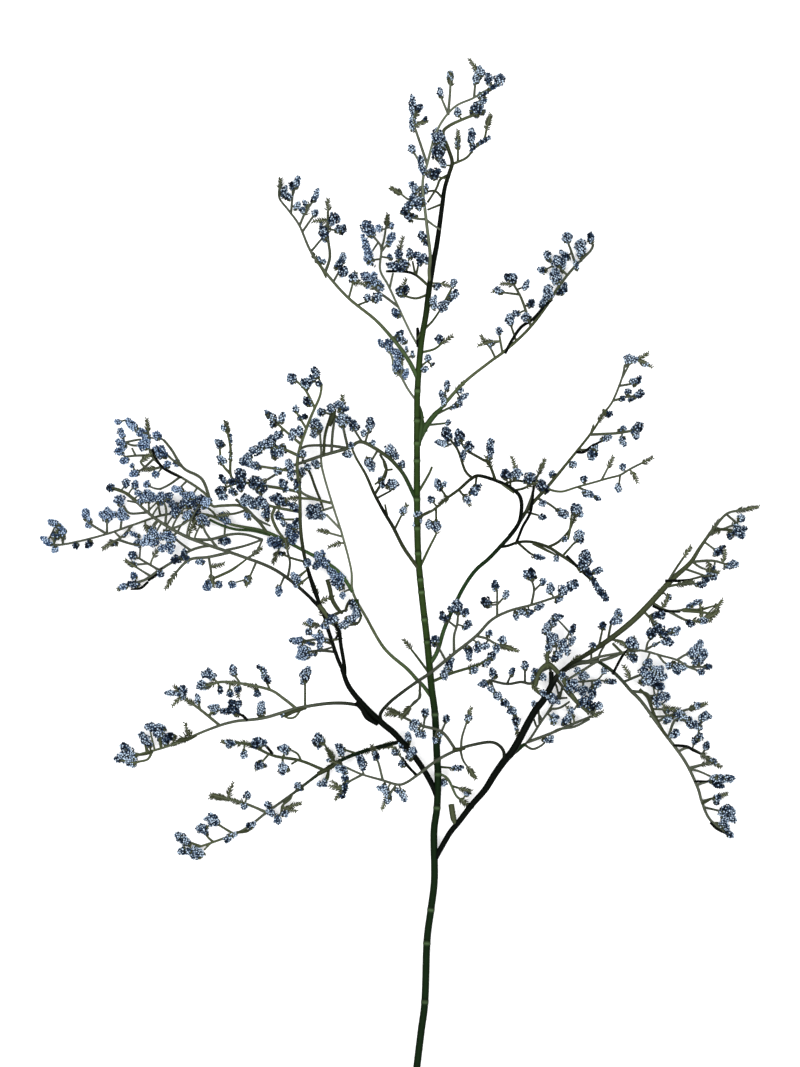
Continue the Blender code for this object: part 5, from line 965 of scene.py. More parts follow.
# The tall left spray: the highest of the left side over the surface, in front of the others. Six side
# twigs carry its plastic heads in rows, and its root is set into the low left branch.
grown(
    "tall_left_spray", 12, greens=(*[BLACK_GREEN] * 3, DARK_OLIVE, OLIVE, OLIVE), tone=0.45,
    radii=(1.4, 1.4, 1.3, 1.2, 0.9),
    route=[
        (-60.4, 325, 34.5), (-60.4, 334, 40), (-63.2, 351, 47), (-66, 366, 51), (-78.4, 381, 55),
        (-83.2, 394, 58), (-91.2, 418, 62), (-95.2, 443, 65), (-96, 472, 67), (-98, 495, 68),
        (-95, 512, 68), (-87, 534, 68), (-80, 550, 68), (-78.4, 560, 68),
    ],
    twigs=[
        [(-65.6, 364), (-60, 368), (-53, 374)], [(-67, 366.5), (-71, 372)],
        [(-84, 541), (-92, 556), (-102, 565)], [(-90, 524), (-99, 538)],
        [(-95, 512), (-105.6, 521), (-119, 533)], [(-97.6, 503), (-112, 509), (-128, 509), (-141, 498)],
        [(-97.6, 490), (-112, 492), (-132, 495)],
        [(-96.4, 474), (-112, 477), (-131, 480), (-146, 483), (-151, 488), (-151, 508), (-153, 520)],
        [(-144, 481), (-158, 476)], [(-151, 488), (-158, 497), (-160, 511)],
        [(-95.6, 458), (-112, 461), (-128, 465), (-138, 467)],
    ],
    heads=[
        (-53, 374, 11, 5.6, 20), (-70.4, 372, 9.6, 7), (-59, 369, 9.6, 6), (-103, 565, 8, 7),
        (-91, 560, 11, 9), (-83.2, 569, 11, 6.4, -20), (-90, 546, 9.6, 7), (-99, 540, 7, 5.6),
        (-119, 534, 15, 6.4, -41), (-101, 521, 8, 7), (-140, 499, 10, 8, -120), (-131, 507, 11, 8, -80),
        (-121, 512, 11, 8, -60), (-113, 519, 8, 7), (-111, 507, 11, 9, -150), (-132, 495, 8, 7, -90),
        (-114, 491, 8, 6.4), (-104, 495, 11, 7), (-109, 480, 8, 7), (-112, 467, 17, 8, -70),
        (-101, 462, 8, 7), (-143, 487, 12.8, 10), (-157, 484, 9.6, 5), (-159, 475, 9.6, 8, -100),
        (-131, 481, 12.8, 10), (-138.4, 468, 11, 9, -90), (-127, 466, 10, 9), (-160, 512, 8, 6.4),
        (-158.4, 499, 8, 6.4), (-124, 456, 6.4, 6, 180), (-113, 455, 7, 6.4, 180),
    ],
    sprigs=[(-110, 532), (-155, 523), (-149, 521)],
    small_twigs=[
        [(-96, 452), (-109, 452)], [(-92, 418), (-102, 421), (-109, 424)],
        [(-96, 469), (-84, 468), (-72, 465)],
    ],
    small_heads=[
        (-102, 564, 9, 8, -60, 0.1), (-157, 525, 6, 4, -20, 0.1), (-151, 516, 10, 3, 0, -0.1),
        (-86, 564, 7, 7, 20, 0.05), (-81, 560, 5, 5, 0, -0.3), (-84, 528, 10, 10, 0, 0.05),
        (-96, 522, 10, 6, 0, 0.1), (-102, 518, 6, 7, -80, 0.1), (-92, 534, 5, 5, -60, -0.3),
        (-96, 533, 5, 4, 0, -0.3), (-94, 504, 7, 7, 0, 0.25), (-117, 528, 6, 7, -45, -0.4),
        (-110, 533, 10, 6, 10, 0.05), (-126, 511, 8, 7, -50, 0.05), (-137, 502, 8, 7, -70, 0.1),
        (-118, 516, 8, 8, -30, 0.05), (-114, 519, 6, 6, 0, -0.1), (-116, 506, 13, 7, 0, -0.2),
        (-138, 497, 10, 6, -80, 0.05), (-130, 494, 8, 5, -70, -0.1), (-103, 488, 10, 6, 0, 0.1),
        (-110, 481, 8, 4, -20, -0.2), (-98, 481, 8, 6, 0, -0.3), (-160, 513, 10, 5, -60, 0.1),
        (-158, 500, 10, 5, -60, 0.2), (-151, 504, 11, 3, 0, -0.2), (-150, 482, 8, 6, -80, -0.2),
        (-143, 479, 10, 8, 0, -0.4), (-149, 474, 8, 6, -60, 0.1), (-157, 470, 8, 6, -90, 0.1),
        (-127, 477, 11, 10, 0, -0.35), (-133, 480, 8, 8, -30, -0.3), (-134, 464, 10, 7, -70, 0.1),
        (-125, 464, 8, 8, 20, 0.05), (-113, 468, 11, 6, -10, -0.2), (-107, 476, 6, 5, 30, 0.05),
        (-98, 477, 8, 6, 0, -0.2), (-138, 466, 11, 8, -80, 0.1), (-130, 464, 11, 8, -80, 0.1),
        (-122, 461, 8, 5, 180, -0.3), (-99, 461, 8, 4, 180, -0.3), (-122, 456, 11, 5, 0, -0.5),
        (-112, 454, 7, 6, -60, -0.2), (-109, 449, 6, 5, -40, -0.1), (-99, 448, 11, 6, 10, -0.3),
        (-90, 417, 8, 7, 0, -0.1), (-51, 378, 10, 6, 180, 0.1), (-56, 373, 8, 5, 100, 0.05),
        (-62, 367, 10, 6, 80, 0.2), (-54, 370, 10, 4, 110, -0.3), (-72, 371, 11, 7, 80, 0.1),
        (-67, 372, 6, 5, 0, 0.2),
    ],
    small_sprigs=[(-102, 468), (-78, 392), (-60, 373), (-74, 388), (-64, 358)],
    bands=[
        (1.3, BLACK_GREEN, (-89, 409), (-85, 396), (-80, 382)),
        (1.3, OLIVE, (-116, 461), (-118, 454), (-114, 444), (-108, 436)),
        (1.3, OLIVE, (-96, 407), (-90, 412)), (1.9, OLIVE, (-81, 384), (-77, 379), (-73, 372)),
        (1.7, DARK_OLIVE, (-74, 404), (-72, 397), (-70, 388), (-66, 381), (-62, 377)),
        (1, DARK_OLIVE, (-47, 374), (-50, 369), (-58, 367)),
    ],
)

# The broad far left spray between the others, with a thick clump of heads at its outer end. It is
# moulded plastic, dark at the root, and set into the low left branch.
grown(
    "far_left_middle_spray", 13, greens=(BLACK_GREEN, BLACK_GREEN, TWIG_GREY, GREY_OLIVE, GREY_OLIVE),
    tone=0.55, clear=0.2,
    radii=(1.5, 1.3, 1.2, 1.2, 0.9),
    route=[
        (-61, 330, 34.8), (-66, 341, 36), (-73.6, 364, 38), (-79.2, 380, 39), (-98.4, 399, 39),
        (-118.4, 413, 38), (-144, 423, 38), (-169.6, 431.6, 38), (-189.6, 439.6, 38), (-212, 453, 38),
        (-230.4, 469, 38), (-240.8, 476, 38), (-248, 477, 38),
    ],
    twigs=[
        [(-70, 352), (-82, 356), (-96, 354)], [(-68, 346), (-80, 347), (-92, 346)],
        [(-74, 366), (-88, 368)], [(-105.6, 405), (-104, 417), (-106, 427)], [(-131, 418), (-137, 404)],
        [(-152, 426), (-169, 422), (-184, 420), (-194, 411), (-198, 405)],
        [(-169, 422), (-167, 408), (-169, 400)], [(-108, 407), (-113, 396)],
    ],
    heads=[
        (-88, 370, 6.4, 6), (-97, 355, 9.6, 6.4, -80), (-93, 346, 11, 9, -100), (-80, 357, 14, 5, -70),
        (-247, 478, 6.4, 6), (-235, 481, 8, 6.4, None, -0.3), (-228, 480, 8, 6, None, -0.15),
        (-218.4, 471, 11, 9), (-208, 469, 11, 9), (-223, 467, 6.4, 6), (-200, 471, 6.4, 6),
        (-196, 458, 9.6, 8), (-185, 467, 14.4, 12), (-175, 467, 9.6, 8), (-186, 455, 9.6, 8),
        (-174.4, 451, 11, 9), (-214, 443, 8, 7, 160), (-218, 436, 14, 8, -130), (-201.6, 439, 11, 9, 150),
        (-200, 430, 11, 8, 170), (-99, 405, 12.8, 6.4, -40), (-113, 395, 9.6, 6.4, 180),
        (-138, 403, 8, 7, 180), (-176, 418, 8, 4.5, -90), (-170, 399, 9.6, 8, 190),
        (-161, 400, 6.4, 6, 150),
    ],
    sprigs=[(-181, 447), (-107, 430), (-199, 402), (-163, 410)],
    small_twigs=[
        [(-227, 465), (-234, 467)], [(-218, 457), (-232, 457), (-237, 463)], [(-216, 458), (-217, 468)],
        [(-202, 451), (-203, 460), (-206, 468)], [(-198, 445), (-190, 448), (-183, 453)],
        [(-162, 428), (-171, 441), (-175, 451)],
        [(-182, 433), (-168, 436), (-152, 440), (-140, 440), (-126, 436)],
        [(-156, 428), (-140, 431), (-126, 436)], [(-138, 422), (-131, 426), (-126, 436)],
        [(-82, 348), (-76, 348), (-70, 350)],
    ],
    small_heads=[
        (-248, 477, 7, 6, -80, -0.5), (-225, 473, 7, 5, -60, -0.1), (-214, 470, 8, 7, 0, 0.1),
        (-217, 468, 6, 6, 0, -0.3), (-212, 440, 8, 7, 0, 0.2), (-207, 438, 8, 6, -70, 0.1),
        (-198, 437, 7, 6, -20, 0.2), (-186, 420, 6, 5, 180, -0.3), (-150, 400, 7, 6, 120, 0.1),
        (-99, 400, 6, 6, 180, -0.3), (-76, 367, 7, 6, -60, 0.05), (-89, 362, 6, 6, -40, -0.4),
        (-80, 358, 11, 6, 180, -0.1), (-80, 351, 10, 5, 180, -0.1), (-98, 355, 14, 6, -85, -0.5),
        (-88, 353, 8, 3, -80, -0.3), (-93, 349, 10, 6, -80, 0.1), (-94, 342, 11, 6, -80, 0.2),
        (-86, 344, 8, 3, -100, -0.3),
    ],
    small_sprigs=[
        (-196, 413), (-162, 416), (-166, 409), (-136, 424), (-136, 409), (-82, 370), (-80, 362), (-78, 373),
    ],
    bands=[
        (1.1, BLACK_GREEN, (-94, 396), (-86, 387), (-78, 378)),
        (1.3, OLIVE, (-246, 477), (-235, 473), (-224, 465)),
        (1.2, OLIVE, (-165, 405), (-158, 408), (-150, 412), (-139, 420)),
        (1.3, OLIVE, (-98, 399), (-89, 406)), (1.4, DARK_OLIVE, (-76, 370), (-68, 376), (-58, 380)),
        (1.1, BLACK_GREEN, (-64, 364), (-66, 359), (-70, 354)),
        (1, OLIVE, (-72, 356), (-67, 356), (-62, 357)),
    ],
)

# A side spray of the broad one, of thin olive plastic. Its root is set into the broad spray, and it
# comes down to the surface on the left.
grown(
    "far_left_low_spray", 14, greens=(GREY_OLIVE, TWIG_GREY), tone=0.5, clear=0.2,
    radii=(1.0, 1.0, 1.1, 0.9),
    route=[
        (-167, 431, 38), (-175, 430, 34), (-184, 427, 27), (-192, 422, 21), (-200, 417, 16),
        (-209.6, 411, 11), (-220, 404, 7.5), (-236.8, 398, 5),
    ],
    twigs=[[(-209.6, 412), (-225.6, 421)], [(-216, 406.5), (-228, 414)]],
    heads=[
        (-230.4, 423, 8, 7, -50), (-229.6, 407, 7, 5.6, -40), (-208, 409, 7, 6, 180),
        (-238, 398, 7, 6, -90),
    ],
    sprigs=[(-231, 415), (-233, 401)],
    small_twigs=[[(-218, 417), (-226, 416)], [(-184, 429), (-194, 435), (-200, 442)]],
    small_heads=[
        (-226, 433, 8, 7, -80, 0.2), (-214, 434, 10, 8, -80, 0.2), (-206, 429, 8, 6, -120, 0.2),
        (-230, 416, 7, 5, -80, -0.1), (-230, 400, 11, 6, -80, -0.4), (-195, 420, 10, 7, -100, -0.4),
        (-189, 424, 10, 6, 0, -0.35),
    ],
    small_sprigs=[(-210, 426)],
    bands=[
        (1.1, BLACK_GREEN, (-218, 402), (-224, 397), (-232, 396)),
        (1.1, BLACK_GREEN, (-218, 403), (-211, 408), (-206, 414)),
    ],
)

# The lower left spray: a level olive plastic branch with a second row of twigs above it. Its root is
# set into the low left branch.
grown(
    "lower_left_spray", 15, greens=(BLACK_GREEN, GREY_OLIVE, GREY_OLIVE, OLIVE), tone=0.5,
    radii=(1.3, 1.3, 1.15, 1.0, 0.75),
    route=[
        (-43, 301, 30.6), (-50.4, 303.5, 31), (-61.6, 305, 30), (-76.8, 304.4, 29), (-100, 300.4, 28),
        (-125.6, 293, 26), (-149.6, 290, 24), (-169.6, 283.6, 22), (-200, 271, 19), (-225.6, 263.6, 16),
    ],
    twigs=[
        [(-92, 302), (-92, 325)], [(-138.4, 291.6), (-146, 298)],
        [(-99, 301), (-108.8, 308.4), (-120, 315.6), (-141, 320.4), (-159, 322), (-170, 319)],
        [(-160, 287), (-176.8, 300.4), (-188, 308.4), (-192, 313)], [(-176, 299.5), (-178, 307)],
        [(-120, 315.6), (-125, 327)], [(-144, 320), (-150, 330)], [(-162, 322), (-168, 327)],
    ],
    heads=[
        (-92, 327, 11, 9), (-109, 296, 6.4, 5, -120), (-127, 300, 9.6, 6.4), (-149, 301, 15, 8, -20),
        (-164, 300, 9.6, 6, 30), (-212, 284, 14, 8, -50), (-206, 276, 13, 8, -30), (-220, 275, 9.6, 8, -20),
        (-237, 270, 8, 7, -50), (-235, 261, 16, 9, -75), (-125, 328.4, 12.8, 5.6), (-149.6, 331, 11, 6.4),
        (-168, 328, 11, 6), (-173.6, 319, 9.6, 6.4, -70), (-160, 315.4, 7, 5, 180), (-152, 313, 7, 6, 180),
        (-190, 315, 9.6, 7), (-200, 313, 9.6, 5, -90), (-178, 308, 9.6, 5), (-130.4, 313, 7, 6, 180),
    ],
    sprigs=[(-186, 284), (-145, 315), (-194, 307)],
    small_twigs=[[(-214, 266), (-218, 260), (-225, 258), (-228, 257)]],
    small_heads=[
        (-90, 331, 8, 6, 20, 0.2), (-94, 322, 5, 4, 180, -0.2), (-166, 327, 7, 6, 90, -0.3),
        (-172, 328, 7, 6, -90, -0.1), (-174, 319, 10, 7, -50, 0.1), (-176, 318, 6, 5, -90, -0.1),
        (-146, 316, 6, 6, -70, -0.1), (-122, 324, 7, 6, 0, -0.3), (-129, 334, 4, 4, -20, -0.2),
        (-190, 311, 8, 6, 20, 0.05), (-194, 312, 6, 4, -80, 0.05), (-165, 301, 10, 6, -75, 0.3),
        (-154, 299, 13, 6, -100, -0.5), (-146, 304, 8, 7, 45, -0.3), (-128, 298, 10, 6, 0, -0.4),
        (-127, 304, 6, 6, 20, 0.3), (-208, 285, 10, 8, -60, 0.15), (-218, 286, 6, 6, -80, -0.1),
        (-210, 280, 8, 6, -70, 0.05), (-200, 278, 10, 7, -85, -0.4), (-203, 275, 6, 5, -90, -0.5),
        (-217, 272, 7, 6, -20, -0.4), (-223, 279, 6, 6, -80, 0.1), (-234, 266, 9, 9, 0, 0.1),
        (-242, 260, 7, 6, -80, -0.1), (-232, 257, 10, 7, -60, 0.2), (-230, 262, 7, 7, -90, 0.25),
    ],
    small_sprigs=[
        (-162, 316), (-144, 316), (-130, 313), (-194, 306), (-182, 300), (-187, 280), (-184, 282),
        (-190, 279),
    ],
    bands=[
        (0.7, DARK_OLIVE, (-184, 277), (-185, 284)), (0.7, DARK_OLIVE, (-186, 276), (-190, 282)),
        (0.7, DARK_OLIVE, (-188, 276), (-193, 279)),
        (1.2, BLACK_GREEN, (-138, 291), (-142, 295), (-146, 296)),
        (1.5, DARK_OLIVE, (-194, 275), (-186, 276), (-179, 279)),
        (1.1, DARK_OLIVE, (-214, 266), (-220, 264), (-226, 263)),
        (1.7, DARK_OLIVE, (-108, 295), (-102, 298), (-96, 300), (-91, 301)),
        (0.9, OLIVE, (-96, 299), (-100, 294), (-105, 293), (-110, 295)),
        (2.6, BLACK_GREEN, (-51, 306), (-46, 301), (-42, 294), (-34, 288)),
    ],
)

# The lowest left spray, of dark plastic: set into the low left branch, it runs out and down, and is
# close to the surface at its end.
grown(
    "lowest_left_spray", 16, greens=(BLACK_GREEN, DARK_GREEN, TWIG_GREY, OLIVE), tone=0.5,
    radii=(1.4, 1.4, 1.0, 1.0, 0.8),
    route=[
        (-15, 274.5, 24), (-24.8, 271.6, 21), (-36, 269, 19), (-56.8, 262, 16), (-76.8, 251, 13.5),
        (-100.8, 233, 11), (-123, 217, 9), (-141.6, 203, 8), (-166.4, 193, 7), (-180, 188.6, 6.5),
    ],
    twigs=[
        [(-67, 256), (-76.8, 272)], [(-50, 264), (-62, 268)], [(-72, 253.5), (-76, 243)],
        [(-103, 231.6), (-108.8, 225), (-112, 215)], [(-149.6, 200), (-166, 210)],
        [(-166, 206), (-174, 204)], [(-176, 190), (-190, 195)],
        [(-76.8, 251), (-96, 258.8), (-117.6, 262.8), (-136.8, 271.6), (-149, 273)],
        [(-110, 261.5), (-110, 253)], [(-121, 264), (-128, 256)],
        [(-123, 217.5), (-138.4, 223.6), (-158, 229)],
    ],
    heads=[
        (-80.8, 276, 11, 6.4), (-64, 269, 9.6, 6.4, -50), (-76.5, 241, 7, 5, 180), (-98, 239, 6.4, 6),
        (-114, 211, 7, 7, 190), (-107.5, 216, 6.4, 5, 160), (-121.6, 223, 7, 6), (-136.8, 206, 6.4, 6),
        (-154, 196, 8, 6, -150), (-166.4, 212, 10.4, 8), (-175, 204, 9.6, 8, -90),
        (-190.4, 196, 11, 8, -60), (-191, 186, 8, 6.4, -110), (-181, 186.5, 9, 8, -150),
        (-108, 268, 9.6, 6), (-110, 251.5, 9.6, 7, 190), (-129, 255, 8, 6.4, 200), (-141, 264, 8, 6, 190),
        (-129.6, 273, 11, 7), (-152, 273, 9.6, 5.6, -80), (-138.4, 231, 7, 6), (-141, 222, 5.6, 5.6, 200),
    ],
    sprigs=[(-104, 220), (-163, 229), (-151, 236)],
    small_twigs=[
        [(-166, 193), (-170, 197), (-172, 200)], [(-168, 192), (-173, 187)],
        [(-95, 259), (-98, 264), (-103, 267)], [(-98, 259), (-103, 256)],
        [(-72, 250), (-74, 244), (-78, 240)], [(-110, 218), (-110, 223), (-104, 228), (-102, 233)],
        [(-110, 220), (-104, 222)],
    ],
    small_heads=[
        (-153, 271, 5, 6, -90, -0.4), (-131, 272, 10, 9, -30, -0.3), (-125, 273, 6, 6, 30, -0.3),
        (-128, 255, 10, 6, -80, -0.4), (-120, 217, 8, 6, -60, 0.15), (-114, 212, 8, 6, 170, 0.1),
        (-165, 210, 10, 9, -80, 0.1), (-171, 212, 5, 4, -90, 0.1), (-173, 203, 10, 6, -30, -0.5),
        (-194, 199, 6, 6, -80, 0.2), (-187, 193, 7, 7, -40, 0.05), (-186, 186, 6, 6, -80, 0.05),
        (-177, 185, 10, 7, -60, 0.1), (-180, 182, 10, 6, -80, -0.1), (-149, 199, 6, 5, 60, 0.3),
        (-134, 207, 6, 5, 50, 0.1), (-109, 268, 11, 6, -80, -0.4), (-109, 253, 10, 7, -60, 0.2),
        (-84, 273, 7, 5, -30, -0.4), (-81, 270, 6, 3, 200, -0.3), (-63, 265, 7, 6, 0, 0.05),
        (-73, 259, 5, 3, -90, 0.1), (-50, 263, 6, 4, 0, -0.5), (-80, 240, 6, 5, -100, 0.1),
        (-97, 237, 8, 6, -60, -0.3), (-109, 216, 5, 5, 60, -0.2),
    ],
    small_sprigs=[
        (-146, 272), (-150, 274), (-141, 277), (-134, 265), (-122, 257), (-152, 224), (-155, 229),
        (-157, 232), (-140, 229), (-78, 274), (-78, 270), (-63, 262), (-66, 260), (-68, 259), (-70, 258),
        (-38, 266), (-106, 222), (-22, 271), (-18, 268), (-23, 272),
    ],
    bands=[
        (1.2, BLACK_GREEN, (-118, 264), (-122, 269), (-125, 272)),
        (1.2, DARK_OLIVE, (-147, 201), (-139, 202), (-134, 205)),
        (1.8, DARK_OLIVE, (-82, 248), (-74, 252), (-64, 258)),
    ],
)

# The right crossing spray, of thin grey-green plastic: set into the low left branch, it arches over in
# front of the main stem.
grown(
    "right_crossing_spray", 17, greens=(BLACK_GREEN, TWIG_GREY, TWIG_GREY), tone=0.45,
    radii=(1.25, 1.2, 1.2, 1.05, 0.9),
    route=[
        (-31, 290, 28.3), (-31.5, 297, 34), (-24, 306, 41), (-12.8, 315, 46), (-1.6, 323, 50),
        (8.8, 330, 52), (27.2, 345, 54), (44.8, 359, 54), (56.8, 371.6, 54), (71.2, 379, 53),
        (89.6, 384, 52), (108, 390, 51), (113.6, 392.4, 51),
    ],
    twigs=[
        [(27, 345), (27.2, 359), (29.6, 368), (30.4, 377)], [(20, 340), (12.5, 354)],
        [(28.5, 366), (20, 373)], [(61.6, 374), (61.6, 395)], [(61.6, 384), (68, 391)],
        [(89, 384), (91, 396), (89, 404)], [(91, 395), (97, 401)],
        [(44.8, 359), (52.8, 357), (60, 353), (69, 350)], [(0, 324), (-0.8, 310), (-7, 303)],
    ],
    heads=[
        (114, 395, 9.6, 9), (121, 399, 12.8, 8, 50), (29.6, 382, 12.8, 9), (36, 378, 8, 7),
        (19, 374, 11, 5), (37.6, 367.6, 9.6, 6.4), (12, 356, 7, 7), (60, 399, 9.6, 6.4),
        (52.8, 386, 9.6, 8, None, -0.3), (68.5, 392, 8, 5.6), (88.8, 408, 11, 9, None, -0.3),
        (98, 402, 6.4, 6), (104, 397, 9.6, 7), (84.8, 377, 9, 5.6, 150), (76.8, 375, 8, 5, 170),
        (95, 382, 9.6, 5.6), (55.2, 361, 6.4, 6), (61, 349, 8, 6, 170), (66, 356, 7, 7),
        (46, 350, 9.6, 7, 190), (39, 346, 11, 6.4, 170),
    ],
    sprigs=[(71, 350), (-9, 300)],
    small_twigs=[[(1, 316), (0, 310), (-5, 306), (-9, 301)]],
    small_heads=[
        (20, 373, 10, 5, -85, -0.4), (11, 353, 7, 6, -50, -0.3), (39, 344, 10, 5, 0, -0.2),
        (52, 351, 8, 6, 80, 0.2), (54, 384, 7, 6, -50, -0.4), (85, 408, 8, 6, -10, 0.1),
        (80, 378, 6, 6, 70, 0.1), (88, 378, 6, 5, 80, 0.05), (111, 388, 8, 5, 70, 0.05),
    ],
    small_sprigs=[(61, 348), (63, 351), (-10, 301), (-7, 303)],
)

# The right arch: a green plastic branch that rises beside the stem, bends over and comes back to the
# stem from above. Its root is in the stem, and two sprays of the right side are set into its outside.
grown(
    "right_arch", 18, greens=(UPPER_GREEN, DEEP_GREEN, BLACK_GREEN, BLACK_GREEN, DARK_OLIVE), tone=0.5,
    radii=(1.6, 1.45, 1.5, 1.3, 0.9),
    route=[
        (7.5, 336, 30.3), (13.6, 346, 33), (19.2, 364, 35), (25.6, 379, 36), (34.4, 397, 37.5),
        (44, 411, 39), (55.2, 421, 41), (65.6, 432, 43), (73.6, 441, 45), (79.2, 450, 48), (81, 460, 51),
        (80.5, 468, 53), (76.8, 474, 55), (65.6, 481, 57), (48, 486.8, 58), (40.8, 484.4, 58),
        (31.2, 476, 58), (21.6, 469, 57), (11.2, 460, 56), (3.2, 455.6, 55),
    ],
    twigs=[
        [(42, 485), (36, 491), (30.4, 507), (24, 516)],
        [(60.8, 484), (55.2, 496), (48.8, 500.4), (37.6, 507), (33, 513)], [(55.2, 496), (56, 506)],
        [(67, 480.5), (76.8, 483), (89, 481)], [(45, 486), (44, 477)], [(31, 476), (36, 469)],
        [(22, 469), (15, 479)], [(13, 461), (13, 450)],
    ],
    heads=[
        (21.6, 520, 12.8, 9), (18, 513, 10, 5.6), (31.2, 519, 11, 9), (39, 510, 9.6, 8),
        (34.4, 503, 9.6, 5), (56, 508, 19, 6.4, 2), (68, 488, 9.6, 8), (77, 488, 9.6, 9),
        (87, 485, 11, 9, 50), (14.4, 480, 11, 6.4), (9, 468, 6.4, 6), (13, 447, 9.6, 8, 180),
        (7, 448, 8, 6, 190), (37.6, 468, 6.4, 6, 150), (44, 475, 9.6, 6.4, 180),
    ],
    sprigs=[(74, 497), (27, 467)],
    small_twigs=[
        [(31, 476), (34, 472), (38, 472)], [(75, 475), (83, 477), (90, 481)], [(73, 478), (72, 484)],
    ],
    small_heads=[
        (18, 513, 13, 5, -75, 0.05), (30, 513, 6, 6, 180, -0.4), (14, 480, 6, 6, -60, 0.3),
        (19, 480, 6, 5, 40, 0.3), (44, 476, 13, 6, 50, -0.3), (72, 487, 6, 5, 0, -0.3),
        (88, 484, 6, 5, 100, -0.3), (25, 380, 7, 6, -20, 0.05),
    ],
    small_sprigs=[(61, 494), (30, 469), (83, 479)],
    bands=[(1.2, DARK_OLIVE, (-2, 452), (3, 456), (8, 459)), (1.1, OLIVE, (62, 483), (70, 477), (75, 473))],
)

# The right middle spray: a short arch of dark plastic with long heads at its end, set into the right
# arch.
grown(
    "right_middle_spray", 19, greens=(BLACK_GREEN, DARK_OLIVE), tone=0.5,
    radii=(1.05, 1.05, 1.2, 1.1, 0.9),
    route=[
        (64, 430, 42.7), (70, 431, 46), (79.2, 434, 50), (89.6, 434, 50), (102.4, 430, 48), (112, 424, 46),
        (122.4, 417, 44), (132.8, 409, 41), (142, 398, 38),
    ],
    twigs=[
        [(102.4, 430), (110.4, 434), (119, 443), (124, 455)], [(114, 423), (123, 433)],
        [(78, 433.5), (88, 425), (93, 423)],
    ],
    heads=[
        (132, 420, 16, 11, 10), (141.6, 411, 9.6, 5.6, 70), (127, 439, 11, 9), (126, 460, 9.6, 8),
        (115.5, 436, 5, 5), (95, 422, 11, 5, 100), (109, 421, 6, 5, 190), (144, 395, 22, 6.4, 143),
    ],
    sprigs=[(119, 449)],
    small_heads=[
        (134, 411, 11, 5, 148, -0.45), (139, 403, 11, 5, 148, -0.4), (123, 460, 10, 6, 0, -0.4),
        (128, 456, 6, 6, 120, 0.2), (128, 435, 6, 5, 90, -0.5), (130, 415, 11, 7, 30, -0.4),
    ],
    bands=[
        (1.1, OLIVE, (118, 436), (120, 445), (121, 456)),
        (1.2, DARK_OLIVE, (90, 433), (100, 428), (110, 423)),
        (1.3, BLACK_GREEN, (117, 423), (126, 414), (136, 404)),
    ],
)

# The tall right spray: thin and straight, of dark plastic. Its root is set into the right arch, and it
# leans out to the upper right.
grown(
    "tall_right_spray", 20, greens=(BLACK_GREEN, DARK_OLIVE, DARK_OLIVE, GREY_OLIVE), tone=0.5,
    radii=(1.4, 1.3, 1.0, 0.85, 0.7),
    route=[
        (71.5, 439, 44.5), (77, 446, 40), (82, 454, 37), (88.8, 463.6, 35), (103.2, 479.6, 32),
        (118.4, 498, 30), (136.8, 521, 27), (147.2, 537, 26), (154.4, 547, 25), (161.6, 565, 25),
        (164, 576, 25),
    ],
    twigs=[
        [(84, 457), (89.6, 471), (92, 482), (96, 491)], [(85, 458), (96, 455)],
        [(94, 469), (103.2, 464.4), (113, 457)], [(136, 520), (156, 521), (168, 522.8), (173, 524)],
        [(154.4, 547), (165, 550), (173, 551)], [(159, 559), (172, 561)], [(163, 574), (174, 580)],
        [(126, 508), (137, 508)], [(136.8, 521), (139, 528)],
    ],
    heads=[
        (122.4, 496, 7, 6.4), (138.4, 508, 11, 7, 40), (149, 517, 11, 5), (175, 526, 9.6, 8, 40),
        (173, 519, 6.4, 6, 120), (162, 516, 6.4, 6, 180), (163, 525, 5, 5),
        (151.2, 536.4, 6.4, 6, None, -0.45), (166.4, 554, 6.4, 6), (175, 552, 11, 6.4, 60),
        (174, 563, 11, 5.6, 40), (167, 580, 9.6, 8), (97, 479, 11, 8), (106, 488, 6.4, 6),
        (98, 465, 6.4, 6), (98, 454, 6.4, 5.6, 90), (114, 457, 11, 8, 120),
    ],
    sprigs=[(97, 494), (141, 530), (177, 583), (181, 576)],
    small_twigs=[[(162, 565), (167, 575)]],
    small_heads=[
        (172, 580, 6, 6, 60, 0.05), (181, 576, 6, 4, 90, 0.2), (171, 563, 7, 5, 85, 0.1),
        (162, 549, 6, 5, 50, -0.3), (169, 548, 5, 3, 90, -0.4), (162, 524, 8, 3, 70, -0.3),
        (173, 524, 10, 7, 70, -0.35), (163, 513, 6, 5, 130, 0.05), (138, 504, 10, 8, 200, -0.2),
        (101, 476, 8, 6, 20, -0.3),
    ],
    small_sprigs=[(95, 487)],
    bands=[
        (1.2, OLIVE, (146, 540), (148, 539), (150, 537)),
        (1.2, BLACK_GREEN, (76, 432), (78, 436), (82, 446), (88, 457), (90, 469), (91, 482)),
        (1.2, BLACK_GREEN, (125, 506), (131, 506), (138, 511), (146, 515)),
    ],
)

# A small level spray of olive plastic, moulded in one with its heads and set into the tall right
# spray.
grown(
    "small_level_spray", 21, greens=(OLIVE, TWIG_GREY), tone=0.5,
    radii=(0.9, 0.8, 0.75, 0.65, 0.6),
    route=[
        (101.5, 477, 32.3), (107, 475, 38), (114.4, 474.5, 42), (125.6, 478, 43), (140, 482, 43),
        (150.4, 485, 42), (160, 487.6, 41), (168, 492.4, 40), (177, 497, 39),
    ],
    twigs=[[(126, 478), (134, 474), (141, 470)], [(145, 484), (150, 493)], [(160, 487), (159, 479)]],
    heads=[
        (131, 484, 6.4, 6), (134.5, 472.5, 11, 7, 110), (142, 469, 6, 5, 110), (162, 494, 6.4, 6),
        (158.5, 477, 8, 6, 170),
    ],
    sprigs=[(151, 496), (180, 499), (171, 486)],
)

